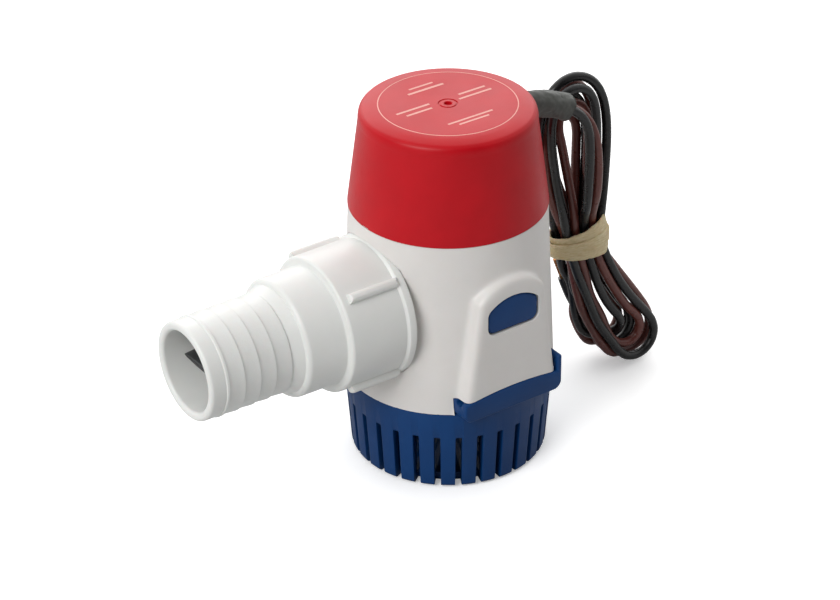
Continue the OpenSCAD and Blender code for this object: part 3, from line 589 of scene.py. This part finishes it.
keptNodes = {
    "seal_rubber": ["cap_seal", "nozzle_seal", "shaft_seal"],
    "white_plastic": ["inlet_plate"],
    "canister_plastic": ["motor_canister"],
    "can_steel": ["motor_can", "seal_retainer", "impeller_clip"],
    "ferrite": ["field_magnets"],
    "bush_bronze": ["lower_bush", "upper_bush"],
    "bell_plastic": ["end_bell"],
    "leaf_brass": ["brush_arms"],
    "carbon": ["brushes"],
    "tinned_brass": ["terminals"],
    "connector_plastic": ["lead_connectors"],
    "shaft_steel": ["shaft"],
    "core_steel": ["armature_core"],
    "winding_copper": ["windings"],
    "commutator_copper": ["commutator"],
    "nylon": ["spacer_washers"],
    "impeller_plastic": ["impeller"],
    "lead_black": ["inner_lead_black"],
    "lead_brown": ["inner_lead_brown"],
}
for finish, kept in keptNodes.items():
    for name in kept:
        for materialSlot in nodes[name].material_slots:
            materialSlot.material = finishes[finish]
step("finishes")


housingSizes = {
    "foot": 25.9, "top": 78.4, "footRadius": 30.6, "neckRadius": 28.3, "wall": 2.5,
    "ledge": 73.4, "ledgeTop": 75.4, "ledgeBore": 23.8, "grid": 0.56, "softening": 14,
    "spare": 4,  # how far past its top the unfinished shape reaches, to be trimmed off
    "rawFoot": 20,
}
panelSizes = {
    "face": 31.2, "foot": 31.5, "halfFoot": 15.6, "halfTop": 12.6, "archRadius": 14.5, "archHeight": 52.8,
    "footArch": 1.2, "wall": 1.8, "round": 1.9, "pocketBack": 24.3, "wetHalf": 22.3, "cutHalf": 16.65,
    "outside": 40,  # a depth clear of everything, where cutters end
}
windowSizes = {"half": 8.9, "foot": 51.3, "top": 62.1, "round": 2.6, "archRadius": 13, "back": 28}
nozzleSizes = {
    "height": 53.4, "seat": 25.295, "collarBack": 25.445, "collarFront": 46.245, "collarRadius": 19.9, "flare": 1.0,
    "band": 2.2, "midRadius": 17.4, "midFront": 58.995, "hoseRadius": 14.3, "firstRing": 62.595, "ringPitch": 4.95,
    "rings": 5, "barbRise": 0.36, "mouth": 88.095, "boreRadius": 11.7, "socketRadius": 17.2, "valveAt": 41.345,
    "ribWidth": 2.7, "ribTop": 21.85, "ribBack": 27.77, "ribFront": 43.85, "stubEnd": 41.245, "stubRadius": 17.0,
    "portRadius": 12.4,
}


def panelOutline(inset, foot):
    p = panelSizes
    slope = (p["halfFoot"] - p["halfTop"]) / (p["archHeight"] - p["foot"])
    low = p["halfFoot"] + slope * (p["foot"] - foot) - inset
    level = low - slope * (p["archHeight"] - foot)  # half the width where the arch begins
    r = p["archRadius"] - inset
    rise = (level * slope + math.sqrt((1 + slope**2) * r**2 - level**2)) / (1 + slope**2)
    start = math.degrees(math.atan2(rise, level - slope * rise))
    return [(-low, foot), (low, foot)] + arc(0, p["archHeight"], r, start, 180 - start, 29)


def windowOutline(inset):
    w = windowSizes
    half, low, r, big = w["half"] - inset, w["foot"] + inset, w["round"] - inset, w["archRadius"] - inset
    top = w["top"] - w["archRadius"]
    turn = math.degrees(math.acos((half - r) / (big - r)))  # where the round corner runs into the arch
    shoulder = top + (big - r) * math.sin(math.radians(turn))
    return (
        arc(half - r, low + r, r, -90, 0, 7)
        + arc(half - r, shoulder, r, 0, turn, 7)
        + arc(0, top, big, turn, 180 - turn, 17)[1:-1]
        + arc(r - half, shoulder, r, 180 - turn, 180, 7)
        + arc(r - half, low + r, r, 180, 270, 7)
    )


def footArcAt(x, lift=0.0):
    r = panelSizes["halfFoot"] ** 2 / (2 * panelSizes["footArch"])
    return panelSizes["foot"] + panelSizes["footArch"] - r + lift + math.sqrt(r**2 - x**2)


def bevelWhere(o, test, width, segments):  # bevels the edges whose two ends both pass the test (in mm)
    pick(o)
    bpy.ops.object.mode_set(mode="EDIT")
    bpy.ops.mesh.select_mode(type="EDGE")
    bpy.ops.mesh.select_all(action="DESELECT")
    bpy.ops.object.mode_set(mode="OBJECT")
    at = [v.co / mm for v in o.data.vertices]
    for edge in o.data.edges:
        edge.select = all(test(at[i]) for i in edge.vertices)
    bpy.ops.object.mode_set(mode="EDIT")
    bpy.ops.mesh.bevel(offset=width * mm, segments=segments, clamp_overlap=True)
    bpy.ops.mesh.select_mode(type="VERT")
    bpy.ops.object.mode_set(mode="OBJECT")
    return o


def alongNozzle(name, profile, steps=96):
    return turned(name, profile, steps, (0, 0, nozzleSizes["height"]), (1, 0, 0))


def plug(name, radius, low, high):  # a round cutter along the nozzle
    return alongNozzle(name, [(0, low), (radius, low), (radius, high), (0, high)])


def trimAt(o, height, keepAbove):  # cuts the object level and closes it
    def act():
        bpy.ops.mesh.bisect(
            plane_co=(0, 0, height * mm), plane_no=(0, 0, 1), use_fill=True,
            clear_inner=keepAbove, clear_outer=not keepAbove,
        )

    return inEdit(o, act)


def softPanel(name):
    p = panelSizes
    o = slab(name, panelOutline(0, housingSizes["rawFoot"]), -18, -p["face"])
    return bevelWhere(o, lambda v: v.y < 0.1 - p["face"], p["round"], 6)


def makeHousing():
    h, p, n = housingSizes, panelSizes, nozzleSizes
    slope = (h["footRadius"] - h["neckRadius"]) / (h["top"] - h["foot"])
    low, high = h["rawFoot"], h["top"] + h["spare"]
    lowRadius, highRadius = h["footRadius"] + slope * (h["foot"] - low), h["neckRadius"] - slope * h["spare"]
    shell = turned("housing", [(0, low), (lowRadius, low), (highRadius, high), (0, high)])
    near = softPanel("panelNear")
    cut(shell, halfTurn(near, "panelFar"), near, operation="UNION")
    applyModifier(shell, "REMESH", mode="VOXEL", voxel_size=h["grid"] * mm)
    applyModifier(shell, "SMOOTH", factor=0.5, iterations=h["softening"])
    trimAt(shell, h["foot"], True)
    trimAt(shell, h["top"], False)
    wall = h["neckRadius"] - h["wall"]  # inner radius at the neck
    inner = turned("cavity", [(0, 24), (h["footRadius"] - h["wall"] + 0.05, 24), (wall, h["ledge"]), (0, h["ledge"])])
    wallNear = slab("wallNear", panelOutline(-0.6, 22), -p["wetHalf"], -p["outside"])
    cut(inner, halfTurn(wallNear, "wallFar"), wallNear)
    ledge = [(0, 70), (h["ledgeBore"], 70), (h["ledgeBore"], h["ledgeTop"]), (wall, h["ledgeTop"]), (wall, 80), (0, 80)]
    cut(shell, inner, turned("ledgeBore", ledge))
    half = p["cutHalf"]
    footCut = [(-half, 18), (half, 18)] + [(x, footArcAt(x)) for x in np.linspace(half, -half, 33)]
    for turn in (0, math.pi):
        tools = (
            slab("pocket", panelOutline(p["wall"] + 0.5, 23.9), -p["pocketBack"], p["wall"] - p["face"]),
            slab("window", windowOutline(0), -windowSizes["back"], -p["outside"]),
            slab("footCut", footCut, -p["pocketBack"], -p["outside"]),
        )
        cut(shell, *(spunRound(tool, turn) for tool in tools))
    seatRadius = n["collarRadius"] + n["flare"] + 0.15
    cut(shell, plug("nozzleSeat", seatRadius, n["seat"], 60), plug("port", n["portRadius"], 19, 60))
    back, port, outer = n["seat"] - 1, n["portRadius"], n["stubRadius"]
    stub = alongNozzle("stub", [(port, back), (outer, back), (outer, n["stubEnd"]), (port, n["stubEnd"])])
    cut(shell, stub, operation="UNION")
    return smooth(dress(shell, "white_plastic"), 34)


housing = makeHousing()
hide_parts("housing")
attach(housing, "case")
step("housing")


capSizes = {
    "foot": 78.4, "footRadius": 28.4, "topRadius": 25.1, "shoulder": 104.4, "top": 108.62, "crown": 19.5, "wall": 2.2,
    "roundMiddle": 24.2, "roundWide": 0.9, "roundTall": 2.9,  # the shoulder's round, an oval quarter
    "crownEdge": [(24.1, 107.55), (23.8, 107.72), (23.4, 107.86), (21.7, 108.28), (20.6, 108.48)],
    "skirtRadius": 25.0, "seatRadius": 26.1,
    "dimple": 1.1, "ringInner": 2.3, "ringOuter": 2.8, "notch": (1.6, 3.2, 1.0),
    "sleeveHole": 4.42, "sleeveHoleAt": (25, 0, 100.35), "sleeveHoleTilt": 96.4,
    "printRadius": 19.45, "printWidth": 0.28,
    "printBars": [  # middle across and along, then width and depth of each plain bar
        (-10, 2.6, 11, 0.8), (-9.5, 0.2, 8.5, 0.8), (10, 2.6, 9, 0.8), (9.5, 0.2, 11, 0.8),
        (0, -10.5, 15, 0.7), (0, -12.3, 10, 0.7), (0, 10.6, 12, 0.9), (0, 13, 8, 0.7),
    ],
}


def makeCap():
    c = capSizes
    top, foot, shoulder = c["top"], c["foot"], c["shoulder"]
    wide, dent, hollow = c["ringOuter"], c["ringInner"], c["dimple"]
    angles = [math.radians(a) for a in range(0, 81, 8)]
    outer = [
        (c["footRadius"] - 0.25, foot), (c["footRadius"], foot + 0.25), (c["footRadius"], foot + 0.7),
        (c["topRadius"] + 0.02, shoulder - 0.4),
    ]
    outer += [
        (c["roundMiddle"] + c["roundWide"] * math.cos(a), shoulder + c["roundTall"] * math.sin(a)) for a in angles
    ]
    outer += c["crownEdge"] + [(c["crown"], 108.6), (c["crown"] - 1.2, top)]
    middle = [
        (wide + 0.06, top), (wide, top - 0.05), (wide - 0.05, top - 0.25),
        (dent + 0.05, top - 0.25), (dent, top - 0.05), (dent - 0.06, top),
        (hollow + 0.2, top), (hollow, top - 0.12), (hollow - 0.06, top - 0.7), (0, top - 0.72),
    ]
    innerTop = top - c["wall"]
    inner = [
        (0, innerTop), (19.9, innerTop), (22.9, shoulder), (25.7, foot + 3), (c["skirtRadius"], foot + 3),
        (c["skirtRadius"], foot + 1.0), (c["seatRadius"], foot + 1.0), (c["seatRadius"], foot),
    ]
    cap = turned("cap", inner + outer + middle, 160)
    notch = block("capNotch", c["notch"], (-c["footRadius"], 0, foot))
    bevelWhere(notch, lambda v: v.z > foot + 0.4, 0.3, 3)
    cut(cap, notch)
    cut(cap, rod("capSleeveHole", c["sleeveHole"], 22, c["sleeveHoleAt"], 64, c["sleeveHoleTilt"]))
    return smooth(dress(cap, "red_plastic"), 30)


def makeCapPrint():
    c = capSizes
    low, high = c["top"] - 0.05, c["top"] + 0.035
    inside, outside = c["printRadius"] - c["printWidth"] / 2, c["printRadius"] + c["printWidth"] / 2
    circle = [(inside, low - 0.06), (outside, low - 0.1), (outside, high - 0.05), (inside, high - 0.02)]
    marks = turned("capPrint", circle, 160)
    for x, y, wide, deep in c["printBars"]:
        bar = block("printBar", (wide, deep, high - low), (x, y, (low + high) / 2))
        bevelWhere(bar, lambda v: abs(abs(v.x - x) - wide / 2) < 0.01, 0.012, 1)
        marks = joined(marks, bar)
    return smooth(dress(marks, "red_plastic", "pale_print"), 30)


cap = makeCap()
capPrint = makeCapPrint()
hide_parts("cap")
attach(cap, "case")
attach(capPrint, "case")
step("cap")


strainerSizes = {
    "footRadius": 28.6, "rimRadius": 30.4, "rim": 25.9, "edgeRound": 1.2, "softEdge": 0.22,
    "slots": 30, "slotWidth": 1.9, "slotTop": 17.5, "slatDepth": 2.3, "floor": 2.4,
    "spigotRadius": 27.9, "spigotInner": 26.0, "spigotTop": 27.2, "fixingPitch": 34, "fixingRadius": 2.3,
}
lugSizes = {
    "half": 16.5, "end": 17.4, "face": 31.35, "round": 2.6, "low": 25.3, "stopTop": 36.5, "stopWide": 1.5, "back": 24.6,
    "recessHalf": 9.2, "recessLow": 29.8, "recessFront": 29.45,  # room for the tab's foot
    "pivot": 31.1, "pinDepth": 28.15, "pinBore": 1.3,
}


def makeLug(name):
    g = lugSizes
    left, right, low, r = -g["half"], g["end"], g["low"], g["round"]
    stopLeft, stopHalf = right - g["stopWide"], g["stopWide"] / 2
    outline = (
        arc(left + r, low + r, r, 270, 180, 8)
        + [(x, footArcAt(x, -0.15)) for x in np.linspace(left, stopLeft, 25)]
        + arc(right - stopHalf, g["stopTop"] - stopHalf, stopHalf, 180, 0, 9)
        + arc(right - r, low + r, r, 0, -90, 8)
    )
    lug = slab(name, outline, -g["back"], -g["face"])
    bevelWhere(lug, lambda v: v.y < 0.1 - g["face"], 0.55, 4)
    half, foot = g["recessHalf"], g["recessLow"]
    behind = slab("lugBack", [(-half, foot), (half, foot), (half, 40), (-half, 40)], -20, -g["recessFront"])
    return cut(lug, behind, rod("pinHole", g["pinBore"], 60, (0, -g["pinDepth"], g["pivot"])))


def makeStrainer():
    s = strainerSizes
    e, foot, rim, edge = s["edgeRound"], s["footRadius"], s["rimRadius"], s["rim"]
    outer = [(0, 0), (foot - e, 0)] + arc(foot - e, e, e, -75, 0, 6) + [(rim, edge - 0.6), (rim - 0.3, edge)]
    spigot = [(s["spigotRadius"], edge), (s["spigotRadius"], s["spigotTop"]), (s["spigotInner"], s["spigotTop"])]
    inner = [(s["spigotInner"], s["slotTop"] + 1), (foot - s["slatDepth"], s["floor"]), (0, s["floor"])]
    body = turned("strainer", outer + spigot + inner, 240)
    slot = block("slotCutter", (10, s["slotWidth"], s["slotTop"] + 2), (29.7, 0, s["slotTop"] / 2 - 1))
    bevelWhere(slot, lambda v: v.z > s["slotTop"] - 0.1, 0.35, 3)
    cutters = [spunCopy(slot, "slotCutter", k * 2 * math.pi / s["slots"]) for k in range(s["slots"])]
    bpy.data.objects.remove(slot)
    holes = [rod("fixingHole", s["fixingRadius"], 8, (x * s["fixingPitch"] / 2, 0, 1), 48, 0) for x in (-1, 1)]
    cut(body, joined(*cutters), *holes)
    for side in (-1, 1):  # clears the spigot where the walls of the housing's pockets come down
        cut(body, block("spigotCut", (100, 40, 10), (0, side * (panelSizes["wetHalf"] + 19.85), edge + 5)))
    near = makeLug("lugNear")
    cut(body, halfTurn(near, "lugFar"), near, operation="UNION")
    applyModifier(
        body, "BEVEL", width=s["softEdge"] * mm, segments=2, limit_method="ANGLE",
        angle_limit=math.radians(48), use_clamp_overlap=True,
    )
    return smooth(dress(body, "blue_plastic"), 40)


strainer = makeStrainer()
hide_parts("strainer")
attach(strainer, "case")
step("strainer")


tabSizes = {
    "face": 30.95, "armFront": 29.15, "armBack": 27.15, "half": 8.5, "armHole": 4, "armHoleUp": 12,
    "pivot": 31.1, "pivotRadius": 1.0,
    "gap": 0.35,  # between the button and its window
    "flange": 0.3,  # how far the flange behind it reaches past the window
}


def makeTab():
    t = tabSizes
    half, foot, top, front, back = t["half"], t["pivot"], windowSizes["foot"] + 3, t["armFront"], t["armBack"]
    arm = slab("releaseTabNear", [(-half, foot), (half, foot), (half, top), (-half, top)], -back, -front)
    cut(arm, slab("armHole", arc(0, foot + t["armHoleUp"], t["armHole"], 0, 350, 36), -20, -40))
    bevelWhere(arm, lambda v: abs(v.z - foot) > 1 and (v.y > -0.05 - back or v.y < 0.05 - front), 0.25, 2)
    button = slab("tabButton", windowOutline(t["gap"]), -back, -t["face"])
    bevelWhere(button, lambda v: v.y < 0.1 - t["face"], 0.7, 4)
    flange = slab("tabFlange", windowOutline(-t["flange"]), -back, -front)
    pin = rod("tabPin", t["pivotRadius"], 2 * half, (0, -(front + back) / 2, foot), 40)
    bevelWhere(pin, lambda v: abs(abs(v.x) - half) < 0.05, 0.3, 2)
    cut(arm, flange, button, pin, operation="UNION")
    return smooth(arm, 34)


tabNear = makeTab()
tabFar = halfTurn(tabNear, "releaseTabFar")
for tab, node, body in ((tabNear, "release_tab_near", "tab_near"), (tabFar, "release_tab_far", "tab_far")):
    dress(tab, "blue_plastic")
    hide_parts(node)
    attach(tab, body)
step("release tabs")


def swapped(points):
    return [(b, a) for a, b in points]


def makeNozzle():  # its outline as (radius, distance along the nozzle)
    n = nozzleSizes
    r, back, front, mid, hose = n["collarRadius"], n["collarBack"], n["collarFront"], n["midRadius"], n["hoseRadius"]
    flare, band = r + n["flare"], back + n["band"]
    outline = [(n["socketRadius"], back), (flare - 0.3, back), (flare, back + 0.3), (flare, band - 0.35)]
    outline += [(flare - 0.12, band), (flare - 0.6, band + 0.35), (r + 0.15, band + 0.7), (r, front - 1.1)]
    outline += swapped(arc(front - 1.0, r - 1.0, 1.0, 80, 0, 8))
    outline += [(mid + 0.7, front + 0.03), (mid + 0.25, front + 0.25), (mid, front + 0.9)]
    outline += swapped(arc(n["midFront"] - 1.7, mid - 1.8, 1.7, 88, 5, 9))
    outline += [(hose + 0.75, n["firstRing"] - 2.2), (hose + 0.25, n["firstRing"] - 0.9)]
    top = hose + n["barbRise"]
    for k in range(n["rings"]):
        x = n["firstRing"] + k * n["ringPitch"]
        outline += [(hose, x - 0.22), (hose + 0.03, x - 0.12), (top - 0.05, x - 0.02)]
        outline += [(top, x + 0.12), (top, x + 0.3), (top - 0.05, x + 0.75)]
    m, bore, seat = n["mouth"], n["boreRadius"], n["valveAt"]
    outline += [(hose, m - 4.7), (hose, m - 1.05)] + swapped(arc(m - 1.0, hose - 1.0, 1.0, 80, 0, 8))
    outline += swapped(arc(m - 1.1, bore + 1.1, 1.1, -10, -80, 8)) + [(bore, m - 1.4), (bore, front + 6)]
    outline += [(13.3, seat + 1.6), (16.8, seat + 1.6), (n["socketRadius"], seat + 1.0)]
    nozzle = alongNozzle("nozzle", outline, 144)
    high, low, length = n["ribTop"], r - 1.2, n["ribFront"] - n["ribBack"]
    ribs = []
    for k in range(4):
        at = (-(n["ribFront"] + n["ribBack"]) / 2, 0, n["height"] + (high + low) / 2)
        rib = block("gripRib", (length, n["ribWidth"], high - low), at)
        bevelWhere(rib, lambda v: v.z > n["height"] + high - 0.05, 1.3, 7)
        ribs.append(spunRound(rib, math.radians(45 + 90 * k), "X", place(0, 0, n["height"])))
    cut(nozzle, *ribs, operation="UNION")
    return smooth(dress(nozzle, "nozzle_plastic"), 24)


nozzle = makeNozzle()
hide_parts("nozzle")
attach(nozzle, "case")
step("nozzle")


valveSizes = {
    "at": 41.345, "flange": 1.5, "flangeRadius": 16.6, "radius": 11.1, "wall": 1.1, "sleeveEnd": 50.3,
    "tip": 83.05, "tipHalf": 8.1, "lip": 0.85, "steps": 26, "slit": 0.09, "slitHalf": 7.4,
}


def makeValve():
    v = valveSizes
    height, radius, rim, bore = nozzleSizes["height"], v["radius"], v["flangeRadius"], v["radius"] - v["wall"]
    back, front = v["at"], v["at"] + v["flange"]
    flange = [(bore, back), (rim - 0.2, back), (rim, back + 0.2), (rim, front - 0.2), (rim - 0.2, front)]
    valve = alongNozzle("checkValve", flange + [(radius, front), (radius, front + 0.3), (bore, front + 0.3)])
    bill = ring("bill", radius, (-front - 0.2, 0, height), 96)
    steps = v["steps"]
    eased = [0.5 - 0.5 * math.cos(math.pi * k / steps) if k < 3 else k / steps for k in range(steps + 1)]
    sizes = [(radius + (v["tipHalf"] - radius) * k, radius + (v["lip"] - radius) * k) for k in eased]

    def act():  # a round sleeve that flattens into two lips
        bpy.ops.mesh.extrude_region_move(TRANSFORM_OT_translate={"value": place(front + 0.2 - v["sleeveEnd"], 0, 0)})
        for (wide0, high0), (wide1, high1) in zip(sizes[:-1], sizes[1:]):
            move = place((v["sleeveEnd"] - v["tip"]) / steps, 0, 0)
            bpy.ops.mesh.extrude_region_move(TRANSFORM_OT_translate={"value": move})
            bpy.ops.transform.resize(value=(1, wide1 / wide0, high1 / high0), center_override=place(0, 0, height))
        bpy.ops.mesh.edge_face_add()

    inEdit(bill, act)
    tidyMesh(bill)
    valve = joined(valve, bill)
    left, right, low, high = -v["tip"] - 2, -v["tip"] + 2.5, height - v["slit"], height + v["slit"]
    slit = slab("valveSlit", [(left, low), (right, low), (right, high), (left, high)], -v["slitHalf"], v["slitHalf"])
    cut(valve, slit, solver="EXACT")
    return smooth(dress(valve, "valve_rubber"), 35)


valve = makeValve()
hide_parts("check_valve")
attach(valve, "case")
step("check valve")


sleeveSizes = {
    "start": (20.0, 100.6), "bend": 45, "turn": 29, "radius": 4.36, "bore": 3.2,
    "crumple": 0.9, "crease": 3.6, "edge": 0.18,
}


def crumple(o, size, depth, level):  # soft creases of a size and a depth in mm; level 1 only dents, 0.5 does both
    creases = bpy.data.textures.new(o.name + "Creases", "CLOUDS")
    creases.noise_scale = size * mm
    creases.noise_depth = 2
    applyModifier(o, "DISPLACE", texture=creases, texture_coords="GLOBAL", strength=depth * mm, mid_level=level)


def makeSleeve():
    s = sleeveSizes
    x, z = s["start"]
    sleeve = ring("sleeve", s["radius"], (x, 0, z), 72)

    def act():
        turn = -math.radians(s["turn"])  # downwards as it leaves the cap
        bpy.ops.mesh.spin(steps=70, angle=turn, center=place(x, 0, z - s["bend"]), axis=(0, 1, 0))

    inEdit(sleeve, act)
    tidyMesh(sleeve)
    applyModifier(sleeve, "SOLIDIFY", thickness=(s["radius"] - s["bore"]) * mm, offset=-1)
    crumple(sleeve, s["crease"], s["crumple"], 1.0)
    applyModifier(sleeve, "BEVEL", width=s["edge"] * mm, segments=2, limit_method="ANGLE", angle_limit=math.radians(60))
    return smooth(dress(sleeve, "sleeve_rubber"), 40)


sleeve = makeSleeve()
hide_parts("strain_relief")
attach(sleeve, "case")
step("sleeve")


bandSizes = {
    "middle": (52.0, 46.6), "wide": 4.4, "thick": 0.85, "crease": 3.2, "crumple": 0.7,
    # each wrap's half width and half depth, its height on the waist and how far it slants
    "wraps": ((8.9, 5.7, 2.5, 13.0), (9.7, 6.2, -0.6, 4.0), (9.1, 5.9, -2.9, -7.0)),
}


def makeBand():
    b = bandSizes
    lean = math.radians(leadSizes["lean"])
    wraps = []
    for wide, deep, up, skew in b["wraps"]:
        bpy.ops.mesh.primitive_circle_add(vertices=120, radius=mm, location=(0, 0, -b["wide"] / 2 * mm))
        wrap = settle(named("band"))

        def act():
            bpy.ops.transform.resize(value=(wide, deep, 1), center_override=(0, 0, 0))
            for k in range(6):
                bpy.ops.mesh.extrude_region_move(TRANSFORM_OT_translate={"value": (0, 0, b["wide"] / 6 * mm)})

        inEdit(wrap, act)
        tidyMesh(wrap)
        applyModifier(wrap, "SOLIDIFY", thickness=b["thick"] * mm, offset=1)
        pick(wrap)
        bpy.ops.transform.rotate(value=math.radians(skew), orient_axis="Y", center_override=(0, 0, 0))
        bpy.ops.transform.translate(value=(0, 0, up * mm))
        wraps.append(settle(wrap))
    joined(*wraps)
    band = named("band")
    applyModifier(band, "SUBSURF", levels=1, render_levels=1)
    crumple(band, b["crease"], b["crumple"], 0.5)
    pick(band)
    bpy.ops.transform.rotate(value=lean, orient_axis="X", center_override=(0, 0, 0))
    x, v = b["middle"]
    bpy.ops.transform.translate(value=place(*onHank(x, v, 0)))
    settle(band)
    return smooth(dress(band, "band_rubber"), 60)


band = makeBand()
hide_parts("hank_band")
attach(band, "case")
step("band")


def makeStrippedEnd(name, line):
    end, before = Vector(line[-1]) * mm, Vector(line[-3]) * mm
    way = (end - before).normalized()
    length = leadSizes["stripped"]
    strands = rod(name, leadSizes["strandRadius"], length, (0, 0, 0), 24, 0)

    def act():
        for k in range(-2, 3):
            bpy.ops.mesh.bisect(plane_co=(0, 0, k * length / 6 * mm), plane_no=(0, 0, 1))
            bpy.ops.mesh.select_all(action="SELECT")

    inEdit(strands, act)
    twist = math.radians(leadSizes["strandTwist"])
    applyModifier(strands, "SIMPLE_DEFORM", deform_method="TWIST", deform_axis="Z", angle=twist)
    strands.rotation_euler = way.to_track_quat("Z", "Y").to_euler()
    strands.location = end + way * (length / 2 - 0.4) * mm
    settle(strands)
    return smooth(dress(strands, "tinned_brass", "strand_copper"), 40)


for o, line, side, name, nodesHeld, more in (
    (leadBlack, blackLine, -1, "lead_black", ("lead_black", "lead_hank"), (band,)),
    (leadBrown, brownLine, 1, "lead_brown", ("lead_brown",), ()),
):
    dress(o, name)
    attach(o, "case")
    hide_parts(*nodesHeld)
    end = makeStrippedEnd(o.name + "End", line)
    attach(end, "case")
step("cords declared")


lightSizes = {
    "front": 0.07, "behind": 1.25, "brightSide": (0.55, 0.77, 0.32),  # the room is dim in front and bright behind
    "paperGlow": 0.3, "paperBounce": "bebebe", "floorDrop": 0.4,
    "boxes": {  # place and size in metres, then power
        "key": ((-1.2, -0.35, 0.95), (0.9, 0.9), 17.5),
        "fill": ((0.9, -1.1, 0.9), (1.2, 0.8), 1.1),
        "backLight": ((0.75, 1.25, 0.85), (2.2, 0.9), 10),
    },
}


def makeFloor():
    bpy.ops.mesh.primitive_plane_add(size=8, location=place(0, 0, -lightSizes["floorDrop"]))
    floor = named("floor")
    paper = newFinish("palePaper", Roughness=0.9)  # bright white where it is looked at, and dimmer as a reflector
    looked = add(paper, "ShaderNodeLightPath", {}).outputs["Is Camera Ray"]
    feed(paper, Base_Color=blendTones(paper, looked, lightSizes["paperBounce"], "ffffff"))
    feed(paper, Emission_Color=blendTones(paper, looked, "000000", "ffffff"))
    paper.node_tree.nodes["Principled BSDF"].inputs["Emission Strength"].default_value = lightSizes["paperGlow"]
    floor.data.materials.append(paper)


def makeRoom():
    room = bpy.data.worlds.new("softRoom")
    room.use_nodes = True
    where = add(room, "ShaderNodeTexCoord", {}).outputs["Generated"]
    facing = add(room, "ShaderNodeVectorMath", {0: where, 1: lightSizes["brightSide"]}, operation="DOT_PRODUCT")
    level = add(room, "ShaderNodeMapRange", {
        "Value": facing.outputs["Value"], "From Min": -0.35, "From Max": 0.75,
        "To Min": lightSizes["front"], "To Max": lightSizes["behind"],
    })
    background = room.node_tree.nodes["Background"]
    background.inputs["Color"].default_value = (1, 1, 1, 1)
    room.node_tree.links.new(level.outputs["Result"], background.inputs["Strength"])
    bpy.context.scene.world = room


def softBox(name, at, size, power):
    bpy.ops.object.light_add(type="AREA", location=at)
    lamp = bpy.context.active_object
    lamp.name = name
    lamp.data.shape = "RECTANGLE"
    lamp.data.size, lamp.data.size_y = size
    lamp.data.energy = power
    lamp.rotation_euler = (Vector(at) - Vector((0, 0, 0.05))).to_track_quat("Z", "Y").to_euler()


makeFloor()
makeRoom()
for name, (at, size, power) in lightSizes["boxes"].items():
    softBox(name, at, size, power)
bpy.context.scene.view_settings.view_transform = "Standard"
step("stage")
